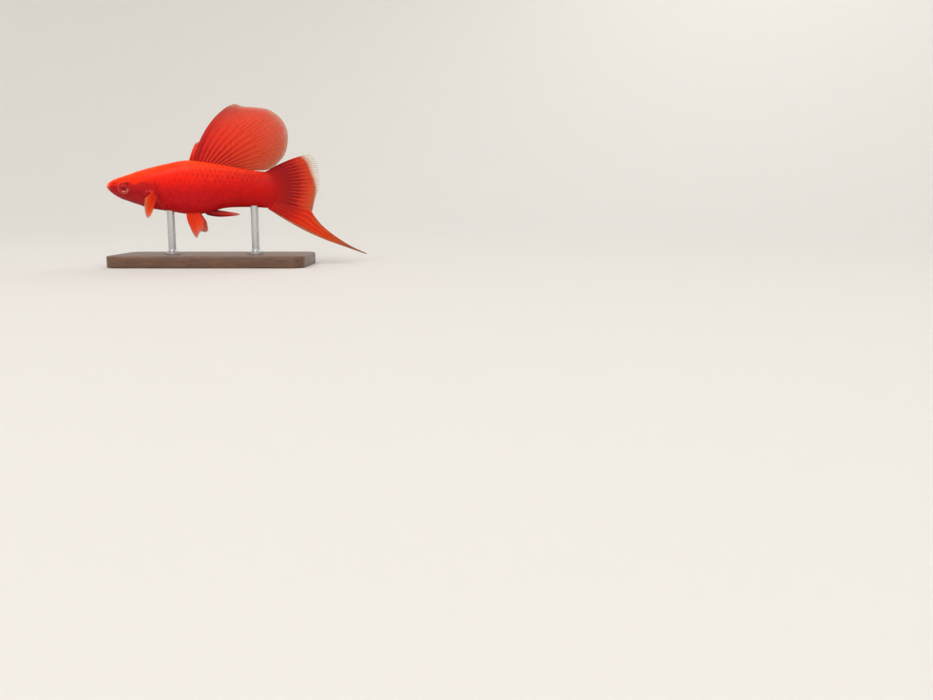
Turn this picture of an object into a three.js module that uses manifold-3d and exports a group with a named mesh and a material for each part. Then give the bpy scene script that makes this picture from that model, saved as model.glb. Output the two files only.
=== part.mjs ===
// A male swordtail with a tall sail-like back fin, life size, on a plain display stand.
//
// Millimetres, +Z up. The fish swims towards -X with its left side facing -Y. Inside the group
// "fish" a point is [along, side, up]: along runs from the tip of the snout to the tail, side is
// across the body, and up starts at the level of the snout tip.

import * as THREE from "three";
import { mergeVertices } from "three/addons/utils/BufferGeometryUtils.js";
import Module from "manifold-3d";

const wasm = await Module();
wasm.setup();

// Driving dimensions
const TOTAL_LENGTH = 101.6; // snout to sword tip
const SNOUT_LEVEL = 31; // height of the snout tip above the shelf
const GAP = 0.3; // clearance between neighbouring pieces
const CUT = 0.7 * GAP; // how far a piece stands back from a slanting cut, measured along the fish

// Body at stations along the fish: the back, the belly, the half width and the level where it is widest
const BODY = [
  { along: 0, back: 0.2, belly: -0.2, half: 0.35, widest: 0 },
  { along: 1.2, back: 1.4, belly: -2.0, half: 2.0, widest: -0.2 },
  { along: 3, back: 2.4, belly: -3.45, half: 2.9, widest: -0.2 },
  { along: 5.4, back: 3.3, belly: -4.85, half: 3.55, widest: 0 },
  { along: 8.5, back: 4.3, belly: -6.0, half: 4.1, widest: 0.1 },
  { along: 12.5, back: 5.65, belly: -7.35, half: 4.7, widest: 0 },
  { along: 17.5, back: 7.1, belly: -8.85, half: 5.2, widest: -0.3 },
  { along: 24, back: 8.6, belly: -9.8, half: 5.4, widest: -0.3 },
  { along: 31.5, back: 9.9, belly: -10.9, half: 5.1, widest: -0.3 },
  { along: 39, back: 9.2, belly: -10.5, half: 4.3, widest: -0.3 },
  { along: 46, back: 8.1, belly: -8.6, half: 3.4, widest: -0.3 },
  { along: 55.5, back: 6.4, belly: -8.2, half: 2.5, widest: -0.8 },
  { along: 62, back: 5.6, belly: -8.5, half: 1.8, widest: -1.3 },
  { along: 69, back: 6.2, belly: -9.2, half: 0.9, widest: -1.5 },
];
const HEAD_SQUARENESS = 2.7; // how flat the top of the head is, 2 being a plain ellipse
const BODY_SQUARENESS = 2.05;
const HEAD_TO_BODY = [9, 22]; // where the flat top eases into the round back
const BODY_RINGS = 42;
const BODY_SIDES = 32;

// Edge of the gill cover, where the head ends, and the two cuts behind it, as [along, up]
const GILL_EDGE = [
  [14.0, 12], [14.5, 6], [15.8, 2.6], [17.4, -0.4], [17.9, -3.2], [17, -6], [14, -8.6], [9, -12],
];
const VENT_CUT = [[44.6, 12], [45.4, 5], [45.6, 0], [45.4, -5], [44.6, -12]];
const TAIL_ROOT = [[60.5, 12], [63.5, 5.5], [66, 3], [67, -1.6], [66.2, -6], [63.6, -9.4], [60, -14]];
const CHEEK_SWELL = 0.35; // how far the gill cover stands proud of the shoulder
const CHEEK_START = 12;

// Head
const EYE = { along: 8.0, side: 3.1, up: -0.85, radius: 2.2, depth: 1.5, facets: 20 };
const PUPIL = { radius: 0.95, rise: 0.09 };
const MOUTH = { corner: [2.4, -1.15], tip: [0, 0], width: 0.3 };
const LIP_RADIUS = 0.3;
const NOSTRILS = [{ along: 3.8, up: 0.9, radius: 0.2 }, { along: 5.0, up: 1.25, radius: 0.26 }];

// Fins: half thickness of the skin between rays at root and rim, and how far a ray stands out of it
const WEB_ROOT = 0.42;
const WEB_RIM = 0.25;
const RAY_ROOT = 0.22;
const RAY_RIM = 0.12;
const COLUMNS_PER_RAY = 4;
const FORK = [0.35, 0.65]; // the part of a ray's length over which it splits in two

const DORSAL = {
  rays: 13,
  rows: 10,
  base: [32.3, 50],
  sink: 1.3,
  // outline from the short first ray up the front edge, over the top and down to the last ray
  rim: [
    [35.3, 16.6], [36.8, 17.2], [38.6, 19.9], [41.1, 23.7], [45.9, 28.8], [50.6, 31.4], [54.2, 30.5],
    [59, 30.1], [64.2, 29.2], [68.6, 26.3], [71.2, 22.2], [71.8, 17], [70.9, 11.6], [67.2, 8.4], [62, 6.8],
  ],
  frontShare: 0.32, // share of the outline that the first rays take
  frontRays: 1 / 6,
  bow: [[0, 0.05], [0.08, 0], [0.17, 0.16], [0.5, 0.06], [1, 0]],
  sway: 1.2,
};

const TAIL_FAN = {
  rays: 12,
  rows: 7,
  root: [[62.6, 5.2], [65, 3], [66, -1.6], [65.4, -5.2]],
  rim: [[79.4, 12.3], [81.4, 10.4], [82.6, 6.6], [83.1, 2.3], [82.7, -1.7], [81.8, -5.2], [80.6, -9.6]],
  fray: 0.5, // how far each ray tip runs past the skin between them
  arch: 0.9, // rise of the upper edge above a straight line
  sway: 0.7,
};

const SWORD = {
  rays: 5,
  rows: 15,
  upper: [
    [65.4, -5.75], [73.5, -8.05], [79.6, -10.2], [81.4, -12.6],
    [83.9, -15.8], [87.6, -18.7], [94.8, -23.2], [101.3, -26.1],
  ],
  lower: [[62.8, -8.9], [69.4, -13], [77.1, -17.3], [84.9, -20.8], [92.8, -23.6], [101.5, -26.6]],
  sway: 0.8,
};

// Paired fins as [along, side, up]: the root and the rim from front to rear, and how the middle
// bulges. The left pectoral is held out to brake and the right one is swept back.
const PECTORAL_LEFT = {
  rays: 7,
  rows: 6,
  root: [[19.5, -4.4, -2.0], [21.0, -4.1, -5.0]],
  rim: [
    [18, -10.2, -4.9], [18.2, -12.2, -8.4], [19.3, -12.7, -12.3],
    [20.2, -11.2, -11.3], [20.9, -9, -9.4], [21, -6.8, -7],
  ],
  bulge: [-0.7, -0.3, 0.8],
};
const PECTORAL_RIGHT = {
  rays: 7,
  rows: 6,
  root: [[19.5, 4.4, -2.0], [21.0, 4.1, -5.0]],
  rim: [
    [27.5, 8.6, -0.8], [31, 9.4, -2.8], [32.4, 9.3, -5.5],
    [31, 8.6, -7.6], [28, 7.4, -8.2], [24.8, 6, -7.4],
  ],
  bulge: [-0.4, 0.5, 0.4],
};
const PELVIC_LEFT = {
  rays: 6,
  rows: 6,
  root: [[31.2, -1.2, -9.6], [35, -1.2, -9.6]],
  rim: [
    [32.4, -2.2, -15.2], [33.7, -3.2, -18.4], [35.1, -3.6, -20.4],
    [36.3, -3.5, -18.6], [37.5, -3.2, -17.2], [37.6, -2.8, -14.6],
  ],
  bulge: [-0.3, -0.2, 0],
};
const PELVIC_RIGHT = {
  rays: 6,
  rows: 6,
  root: [[30.3, 1.2, -9.6], [34.8, 1.2, -9.6]],
  rim: [
    [30.8, 2, -15.2], [32.8, 2.8, -16.6], [35.2, 3.4, -17.9],
    [37.2, 3.6, -18.3], [38.1, 3.4, -17.5], [37.7, 2.8, -14.4],
  ],
  bulge: [0, 0.2, 0],
};

// The rod-like anal fin of the male, as stations along its length
const GONOPODIUM = [
  { along: 37.6, up: -9.6, tall: 1.2, half: 0.8 },
  { along: 40, up: -10.3, tall: 1.25, half: 0.75 },
  { along: 43.5, up: -10.9, tall: 1.1, half: 0.65 },
  { along: 47, up: -10.95, tall: 0.95, half: 0.55 },
  { along: 50, up: -10.9, tall: 0.6, half: 0.4 },
  { along: 51.9, up: -10.95, tall: 0.3, half: 0.27 },
];
const GONOPODIUM_RINGS = 18;
const GONOPODIUM_SIDES = 12;

// Stand
const BASE = { length: 76, width: 34, height: 4.5, corner: 5, bevel: 0.6, middle: 41 };
const ROD = { radius: 1.5, collar: 3.2, collarHeight: 1.2 };
const ROD_PLACES = { front: 24.5, rear: 57.5 };

// Finishes
const flesh = (color) => new THREE.MeshStandardMaterial({ color, roughness: 0.38, metalness: 0 });
const RED_BACK = flesh(0xf03a1c);
const RED_FLANK = flesh(0xe02a1a);
const RED_HEAD = flesh(0xe8391f);
const FIN_RED = new THREE.MeshStandardMaterial({ color: 0xd2352a, roughness: 0.5, metalness: 0 });
const FIN_ORANGE = new THREE.MeshStandardMaterial({ color: 0xff4a1e, roughness: 0.5, metalness: 0 });
const EYE_RED = new THREE.MeshStandardMaterial({ color: 0x9c1420, roughness: 0.12, metalness: 0 });
const DARK_WOOD = new THREE.MeshStandardMaterial({ color: 0x3a2a20, roughness: 0.45, metalness: 0 });
const STEEL = new THREE.MeshStandardMaterial({ color: 0xb9bcbe, roughness: 0.3, metalness: 1 });

// Small mathematics
const { lerp, clamp, smoothstep } = THREE.MathUtils;

// A smooth function through [along, value] pairs, eased in square roots so that the snout comes out round
function along(pairs) {
  const xs = pairs.map(([x]) => Math.sqrt(x));
  const ys = pairs.map(([, y]) => y);
  const last = xs.length - 1;
  const slopes = xs.map((_, i) => {
    const a = Math.max(i - 1, 0);
    const b = Math.min(i + 1, last);
    return (ys[b] - ys[a]) / (xs[b] - xs[a]);
  });
  return (at) => {
    const x = Math.sqrt(clamp(at, pairs[0][0], pairs[last][0]));
    const i = clamp(xs.findIndex((edge) => edge > x) - 1, 0, last - 1);
    const start = x >= xs[last] ? last - 1 : i;
    const width = xs[start + 1] - xs[start];
    const t = (x - xs[start]) / width;
    const a = ys[start] * (1 + 2 * t) * (1 - t) ** 2 + ys[start + 1] * t * t * (3 - 2 * t);
    const b = slopes[start] * t * (1 - t) ** 2 + slopes[start + 1] * t * t * (t - 1);
    return a + b * width;
  };
}

const back = along(BODY.map((s) => [s.along, s.back]));
const belly = along(BODY.map((s) => [s.along, s.belly]));
const halfWidth = along(BODY.map((s) => [s.along, s.half]));
const widest = along(BODY.map((s) => [s.along, s.widest]));
const roofPower = (at) => lerp(HEAD_SQUARENESS, BODY_SQUARENESS, smoothstep(at, ...HEAD_TO_BODY));

// A straight-line function through [x, y] pairs
function steps(pairs) {
  return (x) => {
    const i = clamp(pairs.findIndex(([edge]) => edge >= x), 1, pairs.length - 1);
    const [[x0, y0], [x1, y1]] = [pairs[i - 1], pairs[i]];
    return lerp(y0, y1, clamp((x - x0) / (x1 - x0), 0, 1));
  };
}

const point = ([x, y, z]) => new THREE.Vector3(x, y, z);
const median = ([x, up]) => new THREE.Vector3(x, 0, up);
const curve = (points) => new THREE.CatmullRomCurve3(points, false, "centripetal");

// Closed meshes
function closed(positions, faces) {
  const geometry = new THREE.BufferGeometry();
  const numbers = positions.flatMap((p) => p.toArray());
  geometry.setAttribute("position", new THREE.Float32BufferAttribute(numbers, 3));
  geometry.setIndex(faces.flat());
  return geometry;
}

// Skin over rings of points, closed by a middle point at each end
function loft(rings, first, last) {
  const sides = rings[0].length;
  const positions = [...rings.flat(), first, last];
  const start = rings.length * sides;
  const faces = [];
  for (let side = 0; side < sides; side++) {
    const next = (side + 1) % sides;
    const end = (rings.length - 1) * sides;
    faces.push([start, side, next], [start + 1, end + next, end + side]);
    for (let ring = 0; ring < rings.length - 1; ring++) {
      const [a, b] = [ring * sides + side, ring * sides + next];
      const [c, d] = [a + sides, b + sides];
      faces.push([a, d, b], [a, c, d]);
    }
  }
  return closed(positions, faces);
}

// One thin web over the surface at(u, v), thick enough on each side of it as half(u, v) says
function web(columns, rows, at, half) {
  const tiny = 1e-3;
  const front = [];
  const rear = [];
  for (let i = 0; i <= columns; i++) {
    for (let j = 0; j <= rows; j++) {
      const [u, v] = [i / columns, j / rows];
      const across = at(Math.min(u + tiny, 1), v).sub(at(Math.max(u - tiny, 0), v));
      const outward = at(u, Math.min(v + tiny, 1)).sub(at(u, Math.max(v - tiny, 0)));
      const normal = across.cross(outward).normalize();
      front.push(at(u, v).addScaledVector(normal, half(u, v)));
      rear.push(at(u, v).addScaledVector(normal, -half(u, v)));
    }
  }
  const behind = front.length;
  const index = (i, j) => i * (rows + 1) + j;
  const faces = [];
  for (let i = 0; i < columns; i++) {
    for (let j = 0; j < rows; j++) {
      const [a, b, c, d] = [index(i, j), index(i + 1, j), index(i + 1, j + 1), index(i, j + 1)];
      for (const [p, q, r] of [[a, b, c], [a, c, d]]) {
        faces.push([p, q, r], [behind + p, behind + r, behind + q]);
      }
    }
  }
  const border = [];
  for (let i = 0; i < columns; i++) border.push(index(i, 0));
  for (let j = 0; j < rows; j++) border.push(index(columns, j));
  for (let i = columns; i > 0; i--) border.push(index(i, rows));
  for (let j = rows; j > 0; j--) border.push(index(0, j));
  border.forEach((p, k) => {
    const q = border[(k + 1) % border.length];
    faces.push([q, p, behind + p], [q, behind + p, behind + q]);
  });
  return closed([...front, ...rear], faces);
}

// Solids that can be joined and cut
function solid(geometry) {
  const bare = geometry.clone();
  for (const name of Object.keys(bare.attributes)) if (name !== "position") bare.deleteAttribute(name);
  const merged = mergeVertices(bare, 1e-4);
  const corners = merged.index.array;
  const kept = [];
  for (let i = 0; i < corners.length; i += 3) {
    const [a, b, c] = corners.slice(i, i + 3);
    if (a !== b && b !== c && a !== c) kept.push(a, b, c);
  }
  return new wasm.Manifold(
    new wasm.Mesh({
      numProp: 3,
      vertProperties: Float32Array.from(merged.attributes.position.array),
      triVerts: Uint32Array.from(kept),
    }),
  );
}

// The largest closed surface of a solid, as a geometry
function largest(made) {
  const bodies = made.decompose().sort((a, b) => b.volume() - a.volume());
  const mesh = bodies[0].getMesh();
  const geometry = new THREE.BufferGeometry();
  geometry.setAttribute("position", new THREE.BufferAttribute(Float32Array.from(mesh.vertProperties), 3));
  geometry.setIndex(new THREE.BufferAttribute(Uint32Array.from(mesh.triVerts), 1));
  return geometry;
}

// Body: a point of its surface at an angle round the section, 0 on the back and PI under the belly
function surface(at, angle, grow = 0, swell = 0) {
  const level = widest(at);
  const upper = Math.cos(angle) >= 0;
  const ease = 2 / (upper ? roofPower(at) : BODY_SQUARENESS);
  const reach = (upper ? back(at) - level : level - belly(at)) + grow;
  const side = Math.sign(Math.sin(angle)) * Math.abs(Math.sin(angle)) ** ease;
  const up = Math.sign(Math.cos(angle)) * Math.abs(Math.cos(angle)) ** ease;
  return new THREE.Vector3(at, side * (halfWidth(at) + grow + swell), level + up * reach);
}

function bodyShape(grow = 0, swell = 0) {
  const [start, end] = [BODY[0], BODY[BODY.length - 1]];
  const rings = [];
  for (let i = 1; i <= BODY_RINGS; i++) {
    const at = end.along * (i / BODY_RINGS) ** 1.5;
    const cheek = swell * smoothstep(at, CHEEK_START, GILL_EDGE[4][0]);
    const ring = [];
    for (let k = 0; k < BODY_SIDES; k++) ring.push(surface(at, (2 * Math.PI * k) / BODY_SIDES, grow, cheek));
    rings.push(ring);
  }
  const first = new THREE.Vector3(start.along - grow, 0, start.widest);
  return solid(loft(rings, first, new THREE.Vector3(end.along + grow, 0, end.widest)));
}

// A block as deep as the fish is wide, between two cutting lines and set in from them
function block(ahead, behind, inset = CUT) {
  const shift = (points, by) => curve(points.map(([x, up]) => median([x + by, up]))).getPoints(40);
  const outline = [...shift(ahead, inset), ...shift(behind, -inset).reverse()];
  const shape = new THREE.Shape(outline.map((p) => new THREE.Vector2(p.x, p.z)));
  const made = new THREE.ExtrudeGeometry(shape, { depth: 40, bevelEnabled: false, steps: 1 });
  return solid(made.rotateX(Math.PI / 2).translate(0, 20, 0));
}

const FRONT_LIMIT = [[-10, 14], [-10, -14]];
const bareBody = bodyShape();
const grownBody = bodyShape(GAP);

// Eyes
function eyeball(side) {
  const profile = [];
  const count = 10;
  for (let i = 0; i <= count; i++) {
    const angle = Math.PI * (1 - i / count);
    const radius = i % count === 0 ? 0 : EYE.radius * Math.sin(angle);
    const rise = angle < Math.PI / 2 && radius < PUPIL.radius ? PUPIL.rise : 0;
    profile.push(new THREE.Vector2(radius, EYE.depth * Math.cos(angle) + rise));
  }
  const made = new THREE.LatheGeometry(profile, EYE.facets);
  if (side < 0) made.rotateX(Math.PI);
  return made.translate(EYE.along, side * EYE.side, EYE.up);
}

function socket(side) {
  const made = new THREE.SphereGeometry(1, EYE.facets, EYE.facets / 2);
  made.scale(EYE.radius + GAP, EYE.depth + GAP, EYE.radius + GAP);
  return solid(made.translate(EYE.along, side * EYE.side, EYE.up));
}

// Half width of the body at a height, for what sits on its side
function sideAt(at, up) {
  const level = widest(at);
  const reach = up >= level ? back(at) - level : level - belly(at);
  const power = up >= level ? roofPower(at) : BODY_SQUARENESS;
  return halfWidth(at) * (1 - Math.min(Math.abs(up - level) / reach, 1) ** power) ** (1 / power);
}

// The cleft of the mouth, and a lip rolled round the snout above and below it
const mouthLine = (at) => lerp(MOUTH.tip[1], MOUTH.corner[1], at / MOUTH.corner[0]);

function mouthCleft() {
  const [end, half] = [MOUTH.corner[0], MOUTH.width / 2];
  const shape = new THREE.Shape([
    new THREE.Vector2(-2, mouthLine(-2) - half),
    new THREE.Vector2(end, mouthLine(end) - half),
    new THREE.Vector2(end, mouthLine(end) + half),
    new THREE.Vector2(-2, mouthLine(-2) + half),
  ]);
  const made = new THREE.ExtrudeGeometry(shape, { depth: 12, bevelEnabled: false, steps: 1 });
  return solid(made.rotateX(Math.PI / 2).translate(0, 6, 0));
}

function lip(direction) {
  const offset = direction * (LIP_RADIUS + MOUTH.width / 2);
  const path = [];
  const count = 6;
  for (let i = -count; i <= count; i++) {
    const at = 0.25 + MOUTH.corner[0] * (i / count) ** 2;
    const up = mouthLine(at) + offset;
    const out = Math.sign(i) * Math.max(sideAt(at, up) - 0.5 * LIP_RADIUS, 0);
    path.push(new THREE.Vector3(i === 0 ? 0.1 + LIP_RADIUS : at, i === 0 ? 0 : out, up));
  }
  const ring = new THREE.Shape().absarc(0, 0, LIP_RADIUS, 0, 2 * Math.PI);
  return solid(new THREE.ExtrudeGeometry(ring, { extrudePath: curve(path), steps: 22, curveSegments: 4 }));
}

function nostril({ along: at, up, radius }, side) {
  const made = new THREE.SphereGeometry(radius, 10, 8);
  return solid(made.translate(at, side * sideAt(at, up), up));
}

function headShape() {
  let made = bodyShape(0, CHEEK_SWELL).intersect(block(FRONT_LIMIT, GILL_EDGE));
  made = made.add(lip(1)).add(lip(-1)).subtract(mouthCleft());
  for (const side of [-1, 1]) {
    made = made.subtract(socket(side));
    for (const place of NOSTRILS) made = made.subtract(nostril(place, side));
  }
  return largest(made);
}

// Fins: the ridge of the rays across a web, each splitting in two on its way out
function rayRidge(rays, u, v) {
  const phase = 0.5 + u * (rays - 1);
  const place = Math.abs(2 * (phase - Math.floor(phase)) - 1);
  const single = 1 - place;
  const forked = place < 0.25 ? 0.35 : 1 - Math.abs(2 * place - 1);
  return lerp(single, forked, smoothstep(v, ...FORK));
}

function rayedWeb({ rays, rows }, at) {
  const half = (u, v) => lerp(WEB_ROOT, WEB_RIM, v) + lerp(RAY_ROOT, RAY_RIM, v) * rayRidge(rays, u, v);
  return web(COLUMNS_PER_RAY * (rays - 1), rows, at, half);
}

function dorsalFin() {
  const rim = curve(DORSAL.rim.map(median));
  const bow = steps(DORSAL.bow);
  const rimShare = steps([[0, 0], [DORSAL.frontRays, DORSAL.frontShare], [1, 1]]);
  const at = (u, v) => {
    const x = lerp(...DORSAL.base, u);
    const root = median([x, back(x) - DORSAL.sink]);
    const tip = rim.getPointAt(rimShare(u));
    const chord = tip.clone().sub(root);
    const sideways = new THREE.Vector3(-chord.z, 0, chord.x).multiplyScalar(bow(u));
    const bend = root.clone().lerp(tip, 0.5).add(sideways);
    const made = new THREE.QuadraticBezierCurve3(root, bend, tip).getPoint(v);
    made.y = DORSAL.sway * v * v * Math.sin(2 * Math.PI * (0.1 + 0.8 * u));
    return made;
  };
  return rayedWeb(DORSAL, at);
}

function tailFan() {
  const root = curve(TAIL_FAN.root.map(median));
  const rim = curve(TAIL_FAN.rim.map(median));
  const at = (u, v) => {
    const made = root.getPointAt(u).lerp(rim.getPointAt(u), v);
    const outward = rim.getPointAt(u).sub(root.getPointAt(u)).normalize();
    const fray = v > 0.99 ? TAIL_FAN.fray * rayRidge(TAIL_FAN.rays, u, 1) : 0;
    made.addScaledVector(outward, fray);
    made.z += TAIL_FAN.arch * 4 * v * (1 - v) * (1 - u) ** 3;
    made.y = TAIL_FAN.sway * v * v * Math.sin(Math.PI * (0.2 + u));
    return made;
  };
  return rayedWeb(TAIL_FAN, at);
}

function swordShape() {
  const upper = curve(SWORD.upper.map(median));
  const lower = curve(SWORD.lower.map(median));
  const at = (u, v) => {
    const made = upper.getPointAt(v).lerp(lower.getPointAt(v), u);
    made.y = -SWORD.sway * v * v;
    return made;
  };
  return rayedWeb(SWORD, at);
}

function pairedFin(fin) {
  const root = curve(fin.root.map(point));
  const rim = curve(fin.rim.map(point));
  const bulge = point(fin.bulge);
  const at = (u, v) => {
    const made = root.getPointAt(u).lerp(rim.getPointAt(u), v);
    return made.addScaledVector(bulge, 4 * v * (1 - v) * (1 - u));
  };
  return rayedWeb(fin, at);
}

function gonopodiumShape() {
  const reading = (key) => along(GONOPODIUM.map((s) => [s.along, s[key]]));
  const [up, tall, half] = [reading("up"), reading("tall"), reading("half")];
  const [start, end] = [GONOPODIUM[0], GONOPODIUM[GONOPODIUM.length - 1]];
  const rings = [];
  for (let i = 0; i <= GONOPODIUM_RINGS; i++) {
    const at = lerp(start.along, end.along, i / GONOPODIUM_RINGS);
    const ring = [];
    for (let k = 0; k < GONOPODIUM_SIDES; k++) {
      const angle = (2 * Math.PI * k) / GONOPODIUM_SIDES;
      const groove = k % 3 === 0 ? 1 : 0.88;
      const side = half(at) * Math.sin(angle) * groove;
      ring.push(new THREE.Vector3(at, side, up(at) + tall(at) * Math.cos(angle)));
    }
    rings.push(ring);
  }
  return loft(rings, median([start.along, start.up]), median([end.along + 0.1, end.up]));
}

// What grows from the body is cut back to it, less the gap
const rooted = (geometry) => largest(solid(geometry).subtract(grownBody));
const behindStalk = (geometry) => largest(solid(geometry).subtract(block(FRONT_LIMIT, TAIL_ROOT, -CUT)));

// Stand
function rodShape(at) {
  const bottom = BASE.height + GAP - SNOUT_LEVEL;
  const top = belly(at) + 2;
  const profile = [
    [0, bottom],
    [ROD.collar, bottom],
    [ROD.collar, bottom + ROD.collarHeight * 0.5],
    [ROD.radius, bottom + ROD.collarHeight],
    [ROD.radius, top],
    [0, top],
  ];
  const made = new THREE.LatheGeometry(profile.map(([r, z]) => new THREE.Vector2(r, z)), 24);
  return rooted(made.rotateX(Math.PI / 2).translate(at, 0, 0));
}

function baseShape() {
  const [x, y, r] = [BASE.length / 2 - BASE.bevel, BASE.width / 2 - BASE.bevel, BASE.corner];
  const shape = new THREE.Shape();
  shape.absarc(x - r, y - r, r, 0, Math.PI / 2);
  shape.absarc(-x + r, y - r, r, Math.PI / 2, Math.PI);
  shape.absarc(-x + r, -y + r, r, Math.PI, 1.5 * Math.PI);
  shape.absarc(x - r, -y + r, r, 1.5 * Math.PI, 2 * Math.PI);
  const rim = { bevelThickness: BASE.bevel, bevelSize: BASE.bevel, bevelSegments: 1, curveSegments: 5 };
  const made = new THREE.ExtrudeGeometry(shape, { depth: BASE.height - 2 * BASE.bevel, ...rim });
  return made.translate(0, 0, BASE.bevel);
}

// Scene
function piece(parent, name, geometry, material) {
  const mesh = new THREE.Mesh(geometry, material);
  mesh.name = name;
  parent.add(mesh);
  return mesh;
}

const part = new THREE.Group();
const fish = new THREE.Group();
fish.position.set(-TOTAL_LENGTH / 2, 0, SNOUT_LEVEL);
part.add(fish);

piece(fish, "head", headShape(), RED_HEAD);
piece(fish, "trunk", largest(bareBody.intersect(block(GILL_EDGE, VENT_CUT))), RED_BACK);
piece(fish, "tail_stalk", largest(bareBody.intersect(block(VENT_CUT, TAIL_ROOT))), RED_FLANK);
piece(fish, "eye_left", eyeball(-1), EYE_RED);
piece(fish, "eye_right", eyeball(1), EYE_RED);
piece(fish, "dorsal_fin", rooted(dorsalFin()), FIN_RED);
piece(fish, "tail_fin", behindStalk(tailFan()), FIN_RED);
piece(fish, "tail_sword", behindStalk(swordShape()), FIN_ORANGE);
piece(fish, "pectoral_fin_left", rooted(pairedFin(PECTORAL_LEFT)), FIN_ORANGE);
piece(fish, "pectoral_fin_right", rooted(pairedFin(PECTORAL_RIGHT)), FIN_ORANGE);
piece(fish, "pelvic_fin_left", rooted(pairedFin(PELVIC_LEFT)), FIN_ORANGE);
piece(fish, "pelvic_fin_right", rooted(pairedFin(PELVIC_RIGHT)), FIN_ORANGE);
piece(fish, "gonopodium", rooted(gonopodiumShape()), RED_FLANK);
piece(fish, "stand_rod_front", rodShape(ROD_PLACES.front), STEEL);
piece(fish, "stand_rod_rear", rodShape(ROD_PLACES.rear), STEEL);
piece(part, "stand_base", baseShape(), DARK_WOOD).position.x = BASE.middle - TOTAL_LENGTH / 2;

export default part;
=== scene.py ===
"""A male swordtail with a tall sail-like back fin, life size, on a plain display stand.

Every piece is first shaped in the fish's own frame, in millimetres: along runs from the tip of the
snout to the tail, side is across the body with the left side negative, and up starts at the level
of the snout tip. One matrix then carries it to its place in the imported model, in metres.
"""

import logging
import math
import random
from bisect import bisect_right
from collections.abc import Sequence
from dataclasses import dataclass
from enum import Enum
from functools import lru_cache
from typing import ClassVar

import bmesh
import bpy
from bmesh.types import BMesh
from mathutils import Matrix, Vector, noise


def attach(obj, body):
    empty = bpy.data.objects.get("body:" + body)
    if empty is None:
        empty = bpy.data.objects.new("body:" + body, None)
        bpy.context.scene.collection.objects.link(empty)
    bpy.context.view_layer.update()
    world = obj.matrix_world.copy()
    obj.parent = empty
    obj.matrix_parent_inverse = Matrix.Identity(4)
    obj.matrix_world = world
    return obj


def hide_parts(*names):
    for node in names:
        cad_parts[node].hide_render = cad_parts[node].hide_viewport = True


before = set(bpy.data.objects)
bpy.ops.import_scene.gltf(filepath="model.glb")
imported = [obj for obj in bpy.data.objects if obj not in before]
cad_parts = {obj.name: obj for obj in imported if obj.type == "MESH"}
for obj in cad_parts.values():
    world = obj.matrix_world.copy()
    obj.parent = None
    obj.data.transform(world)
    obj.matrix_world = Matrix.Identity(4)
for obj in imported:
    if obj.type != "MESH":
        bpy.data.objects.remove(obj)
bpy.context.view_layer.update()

MM = 0.001
TOTAL_LENGTH = 101.6
SNOUT_LEVEL = 31.0
TO_MODEL = Matrix.Scale(MM, 4) @ Matrix.Translation((-TOTAL_LENGTH / 2, 0.0, SNOUT_LEVEL))

Look = bpy.types.Material
Tree = bpy.types.NodeTree
Socket = bpy.types.NodeSocket
Pairs = Sequence[tuple[float, float]]
Shades = tuple[tuple[float, str], ...]  # stops of a colour ramp as (place, sRGB hex)

log = logging.getLogger("swordtail")


class Slot(Enum):
    """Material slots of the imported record."""

    SKIN = "skin"
    FIN = "fin"
    EYE = "eye"
    WOOD = "stand_wood"
    STEEL = "stand_steel"


class Side(Enum):
    """The two sides of the fish, as the sign of side."""

    LEFT = -1
    RIGHT = 1


# Small mathematics


def clamp(x: float, low: float = 0.0, high: float = 1.0) -> float:
    """Returns x kept between low and high."""
    return min(max(x, low), high)


def lerp(a: float, b: float, t: float) -> float:
    """Returns the value a share t of the way from a to b."""
    return a + (b - a) * t


def ease(x: float, start: float, end: float) -> float:
    """Returns a smooth step from 0 at start to 1 at end."""
    t = clamp((x - start) / (end - start))
    return t * t * (3 - 2 * t)


def bell(x: float, width: float) -> float:
    """Returns a bell curve that is 1 at 0 and has fallen to a third at width."""
    return math.exp(-((x / width) ** 2))


def steps(pairs: Pairs, x: float) -> float:
    """Reads a function of straight lines.

    Args:
        pairs: corners of the function as (x, y), x rising.
        x: where it is read.

    Returns:
        The value at x.
    """
    i = int(clamp(bisect_right([p[0] for p in pairs], x), 1, len(pairs) - 1))
    (x0, y0), (x1, y1) = pairs[i - 1], pairs[i]
    return lerp(y0, y1, clamp((x - x0) / (x1 - x0)))


def off_line(points: Pairs, x: float, y: float) -> float:
    """Measures how far a place is from a line of straight pieces.

    Args:
        points: corners of the line.
        x: the place's first coordinate.
        y: the place's second coordinate.

    Returns:
        The distance to the nearest point of the line.
    """
    best = math.inf
    for (ax, ay), (bx, by) in zip(points, points[1:]):
        dx, dy = bx - ax, by - ay
        t = clamp(((x - ax) * dx + (y - ay) * dy) / (dx * dx + dy * dy))
        best = min(best, math.hypot(x - ax - t * dx, y - ay - t * dy))
    return best


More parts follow.
